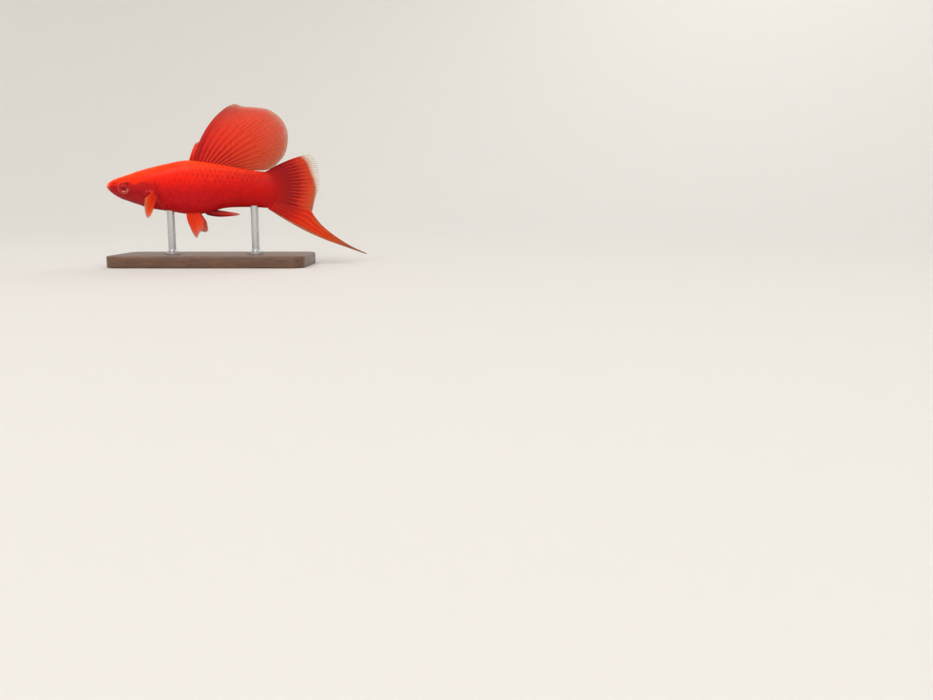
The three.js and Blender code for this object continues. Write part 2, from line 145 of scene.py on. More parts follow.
class Reading:
    """A smooth value along the fish, eased in square roots so that the snout comes out round."""

    def __init__(self, pairs: Pairs) -> None:
        """Prepares the slopes.

        Args:
            pairs: the value at stations, as (along, value).
        """
        self.xs = [math.sqrt(x) for x, _ in pairs]
        self.ys = [y for _, y in pairs]
        last = len(pairs) - 1
        ends = [(max(i - 1, 0), min(i + 1, last)) for i in range(last + 1)]
        self.slopes = [(self.ys[b] - self.ys[a]) / (self.xs[b] - self.xs[a]) for a, b in ends]

    def __call__(self, along: float) -> float:
        """Reads the value.

        Args:
            along: place along the fish.

        Returns:
            The value there.
        """
        x = clamp(math.sqrt(max(along, 0.0)), self.xs[0], self.xs[-1])
        i = int(clamp(bisect_right(self.xs, x) - 1, 0, len(self.xs) - 2))
        width = self.xs[i + 1] - self.xs[i]
        t = (x - self.xs[i]) / width
        value = self.ys[i] * (1 + 2 * t) * (1 - t) ** 2 + self.ys[i + 1] * t * t * (3 - 2 * t)
        return value + width * (
            self.slopes[i] * t * (1 - t) ** 2 + self.slopes[i + 1] * t * t * (t - 1)
        )


class Line:
    """A smooth line through points, read by its length."""

    SAMPLES = 24  # straight pieces between two points

    def __init__(self, points: Sequence[Sequence[float]]) -> None:
        """Draws the line.

        Args:
            points: points as (along, up) on the middle plane, or as (along, side, up).
        """
        made = [Vector(p if len(p) == 3 else (p[0], 0.0, p[1])) for p in points]
        around = [2 * made[0] - made[1], *made, 2 * made[-1] - made[-2]]
        self.samples = []
        for i in range(len(made) - 1):
            four = around[i : i + 4]
            self.samples += [self._between(four, k / self.SAMPLES) for k in range(self.SAMPLES)]
        self.samples.append(made[-1])
        self.lengths = [0.0]
        for a, b in zip(self.samples, self.samples[1:]):
            self.lengths.append(self.lengths[-1] + (b - a).length)

    @staticmethod
    def _between(four: Sequence[Vector], t: float) -> Vector:
        """Finds a point between the middle two of four points.

        Args:
            four: the points.
            t: share of the way.

        Returns:
            The point.
        """
        p0, p1, p2, p3 = four
        d0, d1, d2 = (max((b - a).length ** 0.5, 1e-4) for a, b in zip(four, four[1:]))
        leave = d1 * ((p1 - p0) / d0 - (p2 - p0) / (d0 + d1) + (p2 - p1) / d1)
        arrive = d1 * ((p2 - p1) / d1 - (p3 - p1) / (d1 + d2) + (p3 - p2) / d2)
        bend = p1 * (1 + 2 * t) * (1 - t) ** 2 + p2 * t * t * (3 - 2 * t)
        return bend + leave * t * (1 - t) ** 2 + arrive * t * t * (t - 1)

    def at(self, share: float) -> Vector:
        """Finds a point of the line.

        Args:
            share: share of the way along its length.

        Returns:
            The point.
        """
        want = clamp(share) * self.lengths[-1]
        i = int(clamp(bisect_right(self.lengths, want), 1, len(self.lengths) - 1))
        span = self.lengths[i] - self.lengths[i - 1]
        return self.samples[i - 1].lerp(self.samples[i], (want - self.lengths[i - 1]) / span)


class Cut:
    """A line across the fish, read as its place along the fish at a height."""

    def __init__(self, *points: tuple[float, float]) -> None:
        """Takes points as (along, up) from the top down."""
        self.pairs = [(p.z, p.x) for p in reversed(Line(points).samples)]

    @lru_cache(maxsize=200_000)
    def at(self, up: float) -> float:
        """Returns the line's place along the fish at a height."""
        return steps(self.pairs, up)


# Form of the body


@dataclass(frozen=True)
class Section:
    """The body's section at one place: its top and bottom, half width, and height of that width."""

    back: float
    belly: float
    half: float
    widest: float


class BodyForm:
    """The plain body from snout to tail root, before any relief on its skin."""

    STATIONS = (  # place along the fish, and its Section there
        (0, 0.2, -0.2, 0.35, 0),
        (1.2, 1.4, -2.0, 2.0, -0.2),
        (3, 2.4, -3.45, 2.9, -0.2),
        (5.4, 3.3, -4.85, 3.55, 0),
        (8.5, 4.3, -6.0, 4.1, 0.1),
        (12.5, 5.65, -7.35, 4.7, 0),
        (17.5, 7.1, -8.85, 5.2, -0.3),
        (24, 8.6, -9.8, 5.4, -0.3),
        (31.5, 9.9, -10.9, 5.1, -0.3),
        (39, 9.2, -10.5, 4.3, -0.3),
        (46, 8.1, -8.6, 3.4, -0.3),
        (55.5, 6.4, -8.2, 2.5, -0.8),
        (62, 5.6, -8.5, 1.8, -1.3),
        (69, 6.2, -9.2, 0.9, -1.5),
    )
    LENGTH = 69.0
    HEAD_SQUARENESS = 2.7  # how flat the top of the head is, 2 being a plain ellipse
    BODY_SQUARENESS = 2.05
    HEAD_TO_BODY = (9.0, 22.0)
    GILL_EDGE = Cut(
        (14.0, 12), (14.5, 6), (15.8, 2.6), (17.4, -0.4), (17.9, -3.2), (17, -6), (14, -8.6), (9, -12)
    )
    TAIL_ROOT = Cut((60.5, 12), (63.5, 5.5), (66, 3), (67, -1.6), (66.2, -6), (63.6, -9.4), (60, -14))
    GIRTH_PARTS = 64  # straight pieces that half a girth is measured in

    def __init__(self) -> None:
        """Prepares the readings along the fish."""
        self.readings = [Reading([(s[0], s[k]) for s in self.STATIONS]) for k in range(1, 5)]
        self.back = self.readings[0]
        self._girths: dict[int, list[float]] = {}

    @lru_cache(maxsize=100_000)
    def section(self, at: float) -> Section:
        """Returns the section at a place along the fish."""
        return Section(*(reading(at) for reading in self.readings))

    @lru_cache(maxsize=100_000)
    def squareness(self, at: float) -> float:
        """Returns how flat the upper half of the section is at a place along the fish."""
        return lerp(self.HEAD_SQUARENESS, self.BODY_SQUARENESS, ease(at, *self.HEAD_TO_BODY))

    def point(self, at: float, angle: float) -> Vector:
        """Finds a point of the body's surface.

        Args:
            at: place along the fish.
            angle: angle round the section, 0 on the back and pi under the belly, left side below 0.

        Returns:
            The point in the fish's frame.
        """
        s = self.section(at)
        up, side = math.cos(angle), math.sin(angle)
        power = 2 / (self.squareness(at) if up >= 0 else self.BODY_SQUARENESS)
        reach = s.back - s.widest if up >= 0 else s.widest - s.belly
        out = math.copysign(abs(side) ** power, side) * s.half
        return Vector((at, out, s.widest + math.copysign(abs(up) ** power, up) * reach))

    def normal(self, at: float, angle: float) -> Vector:
        """Finds the direction that the surface faces.

        Args:
            at: place along the fish.
            angle: angle round the section, as in point.

        Returns:
            The direction, outwards.
        """
        tiny = 1e-3
        here = max(at, 0.05)  # just behind the tip of the snout, which faces every way
        across = self.point(here, angle + tiny) - self.point(here, angle - tiny)
        along = self.point(here + tiny, angle) - self.point(here - tiny, angle)
        out = across.cross(along)
        middle = Vector((here + 0.3, 0.0, self.section(here).widest))
        out = out.normalized() if out.length > 1e-12 else Vector((-1.0, 0.0, 0.0))
        return out if out.dot(self.point(here, angle) - middle) >= 0 else -out

    def angle_at(self, at: float, share: float) -> float:
        """Finds the angle round the section by its girth.

        Args:
            at: place along the fish.
            share: share of the half girth from the back, 0, to the belly, 1.

        Returns:
            The angle, from 0 to pi.
        """
        count, key = self.GIRTH_PARTS, round(at)
        if key not in self._girths:
            ring = [self.point(float(key), math.pi * k / count) for k in range(count + 1)]
            total = [0.0]
            for a, b in zip(ring, ring[1:]):
                total.append(total[-1] + (b - a).length)
            self._girths[key] = [x / total[-1] for x in total]
        shares = self._girths[key]
        i = int(clamp(bisect_right(shares, share), 1, count))
        return math.pi * (i - 1 + (share - shares[i - 1]) / (shares[i] - shares[i - 1])) / count


FORM = BodyForm()


# Meshes


def slab(bm: BMesh, columns: int, rows: int) -> list[bmesh.types.BMVert]:
    """Adds a closed flat slab of grid faces, x and y from 0 to 1 and z 1 on top and 0 below.

    Args:
        bm: mesh that it is added to.
        columns: faces along x.
        rows: faces along y.

    Returns:
        The slab's vertices.
    """
    before = set(bm.verts)
    bmesh.ops.create_grid(bm, x_segments=columns, y_segments=rows, size=0.5)
    verts = [v for v in bm.verts if v not in before]
    faces = list({f for v in verts for f in v.link_faces})
    bmesh.ops.solidify(bm, geom=faces, thickness=1.0)
    verts = [v for v in bm.verts if v not in before]
    low = min(v.co.z for v in verts)
    for v in verts:
        v.co = (v.co.x + 0.5, v.co.y + 0.5, v.co.z - low)
    return verts


def turned(profile: Pairs, facets: int) -> BMesh:
    """Spins a profile round the upright axis, as on a lathe.

    Args:
        profile: corners as (distance from the axis, height).
        facets: faces round the axis.

    Returns:
        The mesh.
    """
    bm = bmesh.new()
    verts = [bm.verts.new((radius, 0.0, height)) for radius, height in profile]
    edges = [bm.edges.new(pair) for pair in zip(verts, verts[1:])]
    bmesh.ops.spin(
        bm, geom=verts + edges, cent=(0, 0, 0), axis=(0, 0, 1),
        angle=2 * math.pi, steps=facets, use_merge=True,
    )  # fmt: skip
    bmesh.ops.remove_doubles(bm, verts=bm.verts, dist=1e-4)
    return bm


def quarter(count: int) -> list[tuple[float, float]]:
    """Returns the sine and cosine at even steps over a quarter turn."""
    turns = (math.pi / 2 * k / count for k in range(count + 1))
    return [(math.sin(turn), math.cos(turn)) for turn in turns]


def linked(name: str, bm: BMesh, look: Look) -> bpy.types.Object:
    """Makes a mesh an object of the scene.

    Args:
        name: name of the object.
        bm: its mesh, which is freed.
        look: its material.

    Returns:
        The object, at the origin with its place in its mesh.
    """
    for face in bm.faces:
        face.smooth = True
    mesh = bpy.data.meshes.new(name)
    bm.to_mesh(mesh)
    bm.free()
    mesh.materials.append(look)
    made = bpy.data.objects.new(name, mesh)
    bpy.context.scene.collection.objects.link(made)
    return made


def finished(
    name: str, bm: BMesh, look: Look, stands_for: Sequence[str] = (), crease: float = 180.0
) -> bpy.types.Object:
    """Turns a shaped mesh into a piece that rides on the model.

    Args:
        name: name of the piece.
        bm: its mesh in the fish's frame, which is freed.
        look: its material.
        stands_for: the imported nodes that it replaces.
        crease: angle in degrees from which an edge is left sharp.

    Returns:
        The object.
    """
    bmesh.ops.transform(bm, matrix=TO_MODEL, verts=bm.verts)
    bmesh.ops.recalc_face_normals(bm, faces=bm.faces)
    made = linked(name, bm, look)
    if crease < 180.0:
        made.data.set_sharp_from_angle(angle=math.radians(crease))
    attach(made, "root")
    if stands_for:
        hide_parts(*stands_for)
    log.info("%s: %d faces", name, len(made.data.polygons))
    return made


# Finishes


def linear(code: str) -> tuple[float, float, float, float]:
    """Turns an sRGB colour into linear light.

    Args:
        code: the colour, such as "#C01820".

    Returns:
        Red, green, blue and alpha.
    """
    parts = [int(code[i : i + 2], 16) / 255 for i in (1, 3, 5)]
    red, green, blue = ((c / 12.92 if c <= 0.04045 else ((c + 0.055) / 1.055) ** 2.4) for c in parts)
    return (red, green, blue, 1.0)


def add(tree: Tree, kind: str, given: dict, out: str | int = 0) -> Socket:
    """Adds a node with its settings and links.

    Args:
        tree: the material's node tree.
        kind: the node's type without "ShaderNode" in front.
        given: its properties, and by name or number what its inputs take, which is a value or the
            output that feeds them; "ramp" holds a colour ramp's stops as (place, sRGB hex or grey).
        out: the output that is wanted, by name or number.

    Returns:
        That output.
    """
    made = tree.nodes.new("ShaderNode" + kind)
    for key, value in given.items():
        if key == "ramp":
            stops = made.color_ramp.elements
            while len(stops) > len(value):
                stops.remove(stops[-1])
            while len(stops) < len(value):
                stops.new(1.0)
            for stop, (place, shade) in zip(stops, value):
                stop.position = place
                stop.color = linear(shade) if isinstance(shade, str) else (shade, shade, shade, 1.0)
        elif isinstance(value, Socket):
            tree.links.new(value, made.inputs[key])
        elif isinstance(key, str) and hasattr(made, key):
            setattr(made, key, value)
        else:
            made.inputs[key].default_value = linear(value) if isinstance(value, str) else value
    return made.outputs[out]


def clouded(tree: Tree, colour: Socket, pattern: dict) -> Socket:
    """Makes a colour lighter and darker in soft patches, as pigment lies in skin.

    Args:
        tree: the material's node tree.
        colour: the colour.
        pattern: scale, detail and roughness of the patches.

    Returns:
        The output of the changed colour.
    """
    cloud = add(tree, "TexNoise", {**pattern, "Vector": add(tree, "TexCoord", {}, "Object")})
    tones = {"From Min": 0.3, "From Max": 0.7, "To Min": 0.88, "To Max": 1.1}
    tone = add(tree, "MapRange", {**tones, "Value": cloud})
    return add(tree, "HueSaturation", {"Color": colour, "Value": tone})


class Finish:
    """What a thing is made of. Each kind adds the nodes of its own surface."""

    title: str

    def surface(self, tree: Tree) -> Socket:
        """Adds the nodes.

        Args:
            tree: the material's node tree.

        Returns:
            The shader's output.
        """
        raise NotImplementedError

    def build(self) -> Look:
        """Builds the material.

        Returns:
            The material, which carries the finish's title.
        """
        made = bpy.data.materials.new(self.title)
        made.use_nodes = True
        tree = made.node_tree
        tree.nodes.clear()
        end = tree.nodes.new("ShaderNodeOutputMaterial")
        tree.links.new(self.surface(tree), end.inputs["Surface"])
        return made


@dataclass(frozen=True)
class Livery:
    """The red colouring that skin and scales share, read from what each vertex carries.

    A selected orange-red strain: the red is pigment under clear skin, so it is deep and even, with dark
    pigment cells at the scales' corners. Lighter and yellower towards the back and crimson below is
    partly painted light: painted light from above on the back and painted shade on the lower flank.
    """

    CARRIES: ClassVar[tuple[str, ...]] = ("rise", "fore", "mark", "pale", "fin_root")
    # colours from the belly to the back, partly painted light: lighter on the back, painted shade below
    head: Shades = (
        (0.0, "#A61A22"), (0.18, "#AC141E"), (0.34, "#A61018"), (0.56, "#B41418"),
        (0.63, "#CC1A14"), (0.71, "#F0280C"), (0.86, "#FA3606"), (1.0, "#FF582A"),
    )  # fmt: skip
    body: Shades = (
        (0.0, "#CA1E26"), (0.14, "#C4141C"), (0.36, "#C61016"), (0.5, "#D61210"),
        (0.64, "#F01C0A"), (0.78, "#FE2402"), (0.9, "#FF3600"), (1.0, "#FF4A0C"),
    )  # fmt: skip
    stalk: Shades = (
        (0.0, "#A4080A"), (0.2, "#B80A0A"), (0.5, "#C80A04"),
        (0.68, "#CE0E02"), (0.84, "#D41A04"), (1.0, "#EC3410"),
    )  # fmt: skip
    head_to_body: tuple[float, float] = (0.22, 0.36)  # shares of the fish's length
    body_to_stalk: tuple[float, float] = (0.5, 0.82)
    # colour of the dark marks and of the painted shadows on the head
    dark: str = "#7A0A12"
    # pale of the snout, chin and head lines, also used for the painted highlight along the top of the head
    pale: str = "#FFA482"
    fin_base: str = "#AE0A0E"

    def build(self, tree: Tree) -> Socket:
        """Adds the colouring to a tree.

        Args:
            tree: the material's node tree.

        Returns:
            The colour's output.
        """
        rise, fore, mark, pale, root = (
            add(tree, "Attribute", {"attribute_name": name}, "Fac") for name in self.CARRIES
        )
        colour, body, stalk = (
            add(tree, "ValToRGB", {"ramp": shades, "Fac": rise})
            for shades in (self.head, self.body, self.stalk)
        )
        behind, far = (
            add(tree, "MapRange", {"From Min": start, "From Max": end, "Value": fore})
            for start, end in (self.head_to_body, self.body_to_stalk)
        )
        for share, other in (
            (behind, body), (far, stalk), (root, self.fin_base), (mark, self.dark), (pale, self.pale),
        ):  # fmt: skip
            colour = add(tree, "Mix", {"data_type": "RGBA", 0: share, 6: colour, 7: other}, 2)
        # patches about 1.5 mm across, where the pigment lies thicker
        return clouded(tree, colour, {"Scale": 650.0, "Detail": 4.0, "Roughness": 0.6})


LIVERY = Livery()


@dataclass(frozen=True)
class WetSkin(Finish):
    """Living fish skin: pigment under a clear layer of mucus.

    The mucus gives a soft wet sheen over colour that seems to lie a little below the surface.
    """

    title: str = "fish_skin_mucus_coated"
    roughness: float = 0.4
    shine: float = 0.15
    coat: float = 0.04
    depth: float = 0.14  # share of light that goes into the flesh and comes out beside
    reach: tuple[float, float, float] = (0.0012, 0.00035, 0.0002)  # metres that red, green, blue go

    def surface(self, tree: Tree) -> Socket:
        """Adds the nodes of the skin.

        Args:
            tree: the material's node tree.

        Returns:
            The shader's output.
        """
        place = add(tree, "TexCoord", {}, "Object")
        # pores and small wrinkles 0.25 mm apart, which is as fine as the view can show
        pores = add(tree, "TexVoronoi", {"Scale": 4000.0, "Vector": place})
        folds = add(tree, "TexNoise", {"Scale": 1500.0, "Detail": 5.0, "Vector": place})
        height = add(tree, "Math", {"operation": "MULTIPLY_ADD", 0: pores, 1: 0.35, 2: folds})
        relief = add(tree, "Bump", {"Strength": 0.25, "Distance": 0.00005, "Height": height})
        return add(tree, "BsdfPrincipled", {
            "Base Color": LIVERY.build(tree), "Roughness": self.roughness,
            "IOR": 1.38, "Specular IOR Level": self.shine,
            "Coat Weight": self.coat, "Coat Roughness": 0.14,
            "Subsurface Weight": self.depth, "Subsurface Radius": self.reach, "Subsurface Scale": 1.0,
            "Normal": relief,
        })  # fmt: skip


@dataclass(frozen=True)
class ScaleHorn(Finish):
    """Cycloid scales: thin clear horn grown in rings, over the same pigment as the skin.

    Each scale shows fine rings, a darker free edge and a dark corner where pigment cells gather.
    """

    title: str = "cycloid_scale_horn_grown"
    roughness: float = 0.36
    shine: float = 0.13
    coat: float = 0.05
    dark: str = "#900000"
    speck_place: tuple[float, float] = (0.6, 0.5)  # on the scale, from its root and its lower edge
    speck_size: tuple[float, float] = (0.1, 0.24)

    def surface(self, tree: Tree) -> Socket:
        """Adds the nodes of the scales.

        Args:
            tree: the material's node tree.

        Returns:
            The shader's output.
        """
        lie = add(tree, "UVMap", {"uv_map": "lie"})
        tone, speck = (
            add(tree, "Attribute", {"attribute_name": name}, "Fac") for name in ("tone", "speck")
        )
        # growth rings 0.12 mm apart on a scale 3.5 mm long
        rings = add(
            tree, "TexWave", {"Scale": 4.5, "Distortion": 0.6, "Detail": 1.0, "Vector": lie}, "Fac"
        )
        relief = add(tree, "Bump", {"Strength": 0.18, "Distance": 0.00002, "Height": rings})
        # the pigment sits in the pocket behind the free edge of the scale in front
        (x, y), (long, tall) = self.speck_place, self.speck_size
        to_speck = {"Location": (-x / long, -y / tall, 0.0), "Scale": (1 / long, 1 / tall, 1.0)}
        near = add(tree, "Mapping", {**to_speck, "Vector": lie})
        away = add(tree, "VectorMath", {"operation": "LENGTH", 0: near}, "Value")
        pocket = add(tree, "MapRange", {"From Min": 1.2, "From Max": 0.4, "Value": away})
        share = add(tree, "Math", {"operation": "MULTIPLY", 0: pocket, 1: speck})
        # the free edge is a thin darker line where the horn ends
        out = add(tree, "SeparateXYZ", {0: lie})
        edge = add(tree, "MapRange", {"From Min": 0.84, "From Max": 1.0, "To Max": 0.42, "Value": out})
        dark = add(tree, "Math", {"operation": "MAXIMUM", 0: share, 1: edge})
        colour = LIVERY.build(tree)
        colour = add(tree, "Mix", {"data_type": "RGBA", 0: dark, 6: colour, 7: self.dark}, 2)
        return add(tree, "BsdfPrincipled", {
            "Base Color": add(tree, "HueSaturation", {"Color": colour, "Value": tone}),
            "Roughness": self.roughness, "IOR": 1.4, "Specular IOR Level": self.shine,
            "Coat Weight": self.coat, "Coat Roughness": 0.12, "Normal": relief,
        })  # fmt: skip


@dataclass(frozen=True)
class FinMembrane(Finish):
    """Fin skin stretched between bony rays, grown thin.

    Close to the body it is thick with pigment; outwards it clears, so light comes through between
    the rays, and the rays themselves end in pale bare tips.
    """

    CARRIES: ClassVar[tuple[str, ...]] = ("across", "out", "thin", "ray", "bare")
    title: str
    outwards: Shades  # colour from the root to the margin
    forwards: Shades  # colour from the front ray to the last
    share: float = 0.5  # how much of the colour comes from forwards
    gaps: str = "#8C1018"  # colour in the grooves between rays
    gap_shares: Pairs = ((0.05, 0.75), (0.6, 0.0))  # how much of it shows, from root to margin
    clear: Pairs = ((0.0, 1.0), (0.8, 0.97), (1.0, 0.6))  # how solid the skin is, as it thins
    glow: float = 0.22  # share of light that shines through from behind
    ray_width: tuple[float, float] = (0.1, 0.9)
    ray_clear: float = 0.55  # how solid a ray is where the skin has gone
    ray_tip: str = "#D0A888"
    roughness: float = 0.42
    shine: float = 0.22
    depth: float = 0.2
    reach: tuple[float, float, float] = (0.001, 0.0003, 0.0002)

    def surface(self, tree: Tree) -> Socket:
        """Adds the nodes of the fin.

        Args:
            tree: the material's node tree.

        Returns:
            The shader's output.
        """
        across, out, thin, ray, bare = (
            add(tree, "Attribute", {"attribute_name": name}, "Fac") for name in self.CARRIES
        )
        colour, fore, near, skin = (
            add(tree, "ValToRGB", {"ramp": shades, "Fac": along})
            for shades, along in (
                (self.outwards, out), (self.forwards, across), (self.gap_shares, out), (self.clear, thin),
            )
        )  # fmt: skip
        falling = {"From Min": 0.15, "From Max": 0.75, "To Min": 1.0, "To Max": 0.0}
        between = add(tree, "MapRange", {**falling, "Value": ray})
        groove = add(tree, "Math", {"operation": "MULTIPLY", 0: near, 1: between})
        for share, other in ((self.share, fore), (groove, self.gaps), (bare, self.ray_tip)):
            colour = add(tree, "Mix", {"data_type": "RGBA", 0: share, 6: colour, 7: other}, 2)
        # pigment in streaks and patches about 1 mm across
        colour = clouded(tree, colour, {"Scale": 900.0, "Detail": 5.0, "Roughness": 0.65})
        low, high = self.ray_width
        rising = {"From Min": low, "From Max": high, "To Max": self.ray_clear}
        solid = add(tree, "MapRange", {**rising, "Value": ray})
        alpha = add(tree, "Math", {"operation": "ADD", "use_clamp": True, 0: skin, 1: solid})
        # segments of the rays, 0.5 mm long
        place = add(tree, "TexCoord", {}, "Object")
        joints = add(tree, "TexNoise", {"Scale": 2200.0, "Detail": 2.0, "Vector": place})
        relief = add(tree, "Bump", {"Strength": 0.14, "Distance": 0.00004, "Height": joints})
        web = add(tree, "BsdfPrincipled", {
            "Base Color": colour, "Roughness": self.roughness,
            "IOR": 1.38, "Specular IOR Level": self.shine,
            "Subsurface Weight": self.depth, "Subsurface Radius": self.reach, "Subsurface Scale": 1.0,
            "Normal": relief,
        })  # fmt: skip
        through = add(tree, "BsdfTranslucent", {"Color": colour})
        lit = add(tree, "MixShader", {0: self.glow, 1: web, 2: through})
        return add(tree, "MixShader", {0: alpha, 1: add(tree, "BsdfTransparent", {}), 2: lit})


@dataclass(frozen=True)
class Iris(Finish):
    """The eye's globe: a wine-dark lens in an iris of crimson with pale pink arcs of painted highlight."""

    title: str = "fish_eye_iris_grown"
    rings: Shades = (
        (0.0, "#8C040C"), (0.41, "#8C040C"), (0.45, "#B81820"), (0.49, "#AA0A16"),
        (0.74, "#BE121C"), (0.84, "#CC2A2A"), (0.9, "#BE121C"),
    )  # fmt: skip
    # pale pink of the silvery flecks, also used for the painted highlights of the glint arcs
    silver_and_highlight: str = "#FFB8A4"

    def surface(self, tree: Tree) -> Socket:
        """Adds the nodes of the globe.

        Args:
            tree: the material's node tree.

        Returns:
            The shader's output.
        """
        ring, glint = (
            add(tree, "Attribute", {"attribute_name": name}, "Fac") for name in ("ring", "glint")
        )
        colour = add(tree, "ValToRGB", {"ramp": self.rings, "Fac": ring})
        # silvery flecks of guanine 0.2 mm across, all over the iris but not on the lens
        place = add(tree, "TexCoord", {}, "Object")
        flecks = add(tree, "TexNoise", {"Scale": 4500.0, "Detail": 3.0, "Vector": place})
        few = add(tree, "MapRange", {"From Min": 0.55, "From Max": 0.8, "To Max": 0.12, "Value": flecks})
        outside = add(tree, "MapRange", {"From Min": 0.46, "From Max": 0.52, "Value": ring})
        silvery = add(tree, "Math", {"operation": "MULTIPLY", 0: few, 1: outside})
        # the silvery flecks, then the glint arcs, which are painted highlights
        for share in (silvery, glint):
            colour = add(tree, "Mix", {"data_type": "RGBA", 0: share, 6: colour, 7: self.silver_and_highlight}, 2)
        wet = {"Roughness": 0.4, "IOR": 1.4, "Specular IOR Level": 0.2}
        return add(tree, "BsdfPrincipled", {**wet, "Base Color": colour})


@dataclass(frozen=True)
class Cornea(Finish):
    """The clear window of the eye, wet and smooth, which shows the iris and one soft light."""

    title: str = "fish_cornea_clear"

    def surface(self, tree: Tree) -> Socket:
        """Adds the nodes of the window.

        Args:
            tree: the material's node tree.

        Returns:
            The shader's output.
        """
        # glare at a tenth of its strength in air, because the eye belongs under water
        glare = add(tree, "Fresnel", {"IOR": 1.336})
        share = add(tree, "Math", {"operation": "MULTIPLY", 0: glare, 1: 0.1})
        gloss = add(tree, "BsdfGlossy", {"Color": "#FFFFFF", "Roughness": 0.1})
        return add(tree, "MixShader", {0: share, 1: add(tree, "BsdfTransparent", {}), 2: gloss})


@dataclass(frozen=True)
class OiledWalnut(Finish):
    """Walnut, planed, sanded and oiled: long dark grain, small open pores and a low satin shine."""

    title: str = "walnut_sanded_oiled"
    grain: Shades = ((0.3, "#3C261A"), (0.48, "#6E4B34"), (0.56, "#55382A"), (0.7, "#6E4B34"))
    pore: str = "#24150E"

    def surface(self, tree: Tree) -> Socket:
        """Adds the nodes of the wood.

        Args:
            tree: the material's node tree.

        Returns:
            The shader's output.
        """
        place = add(tree, "TexCoord", {}, "Object")
        # year rings 2.5 mm apart, drawn out along the board
        along = add(
            tree, "Mapping", {"Rotation": (0.06, 0.0, 0.05), "Scale": (0.12, 1.0, 1.6), "Vector": place}
        )
        wavy = {"Scale": 400.0, "Detail": 6.0, "Roughness": 0.6, "Distortion": 0.6}
        rings = add(tree, "TexNoise", {**wavy, "Vector": along})
        colour = add(tree, "ValToRGB", {"ramp": self.grain, "Fac": rings})
        # open pores 0.15 mm wide and 3 mm long
        along = add(tree, "Mapping", {"Scale": (0.05, 1.0, 1.0), "Vector": place})
        pores = add(tree, "TexNoise", {"Scale": 5000.0, "Detail": 2.0, "Vector": along})
        pores = add(tree, "MapRange", {"From Min": 0.6, "From Max": 0.68, "To Max": 0.5, "Value": pores})
        height = add(tree, "Math", {"operation": "SUBTRACT", 0: 1.0, 1: pores})
        return add(tree, "BsdfPrincipled", {
            "Base Color": add(tree, "Mix", {"data_type": "RGBA", 0: pores, 6: colour, 7: self.pore}, 2),
            "Roughness": add(tree, "MapRange", {"To Min": 0.34, "To Max": 0.5, "Value": rings}),
            "IOR": 1.5, "Coat Weight": 0.15, "Coat Roughness": 0.25,
            "Normal": add(tree, "Bump", {"Strength": 0.35, "Distance": 0.00008, "Height": height}),
        })  # fmt: skip


@dataclass(frozen=True)
class TurnedSteel(Finish):
    """Stainless steel, turned on a lathe: fine rings round the rod and a soft long highlight."""

    title: str = "stainless_steel_turned"
    colour: str = "#C4C6C8"

    def surface(self, tree: Tree) -> Socket:
        """Adds the nodes of the steel.

        Args:
            tree: the material's node tree.

        Returns:
            The shader's output.
        """
        # tool marks 0.1 mm apart in life, drawn 0.3 mm apart so that they show
        place = add(tree, "TexCoord", {}, "Object")
        flat = add(tree, "Mapping", {"Scale": (0.02, 0.02, 1.0), "Vector": place})
        marks = add(tree, "TexNoise", {"Scale": 3300.0, "Detail": 3.0, "Vector": flat})
        return add(tree, "BsdfPrincipled", {
            "Base Color": self.colour, "Metallic": 1.0,
            "Roughness": add(tree, "MapRange", {"To Min": 0.24, "To Max": 0.34, "Value": marks}),
            "Normal": add(tree, "Bump", {"Strength": 0.1, "Distance": 0.00002, "Height": marks}),
        })  # fmt: skip


@dataclass(frozen=True)
class MattPaper(Finish):
    """Matt paper of a photographer's sweep: even, pale and without shine."""

    title: str = "paper_sweep_matt"
    colour: str = "#D8D6D2"

    def surface(self, tree: Tree) -> Socket:
        """Adds the nodes of the paper.

        Args:
            tree: the material's node tree.

        Returns:
            The shader's output.
        """
        place = add(tree, "TexCoord", {}, "Object")
        fibre = add(tree, "TexNoise", {"Scale": 900.0, "Detail": 3.0, "Vector": place})
        relief = add(tree, "Bump", {"Strength": 0.05, "Distance": 0.0001, "Height": fibre})
        paper = {"Base Color": self.colour, "Roughness": 0.9}
        return add(tree, "BsdfPrincipled", {**paper, "Normal": relief})


# Body


@dataclass(frozen=True)
class Trace:
    """A ridge, a groove or a streak of colour that follows a line and fades to both sides."""

    strength: float  # height in millimetres, or share of a colour
    width: float
    off: float = 0.0  # how far beside the line it lies

    def at(self, away: float) -> float:
        """Returns what is left of it at a distance from the line."""
        return self.strength * bell(away - self.off, self.width)


@dataclass(frozen=True)
class Spot:
    """A small patch on the head, used for dark marks, for painted shadows and for the brighter cheek: its
    place, its size and how strong it is.
    """

    along: float
    up: float
    long: float
    tall: float
    strength: float
    tilt: float = 0.0

    def share(self, at: float, up: float) -> float:
        """Works out how much of the patch shows.

        Args:
            at: place along the fish.
            up: height.

        Returns:
            The share, at most its strength.
        """
        x, y = at - self.along, up - self.up
        c, s = math.cos(self.tilt), math.sin(self.tilt)
        away = ((x * c + y * s) / self.long) ** 2 + ((y * c - x * s) / self.tall) ** 2
        return self.strength * math.exp(-away)


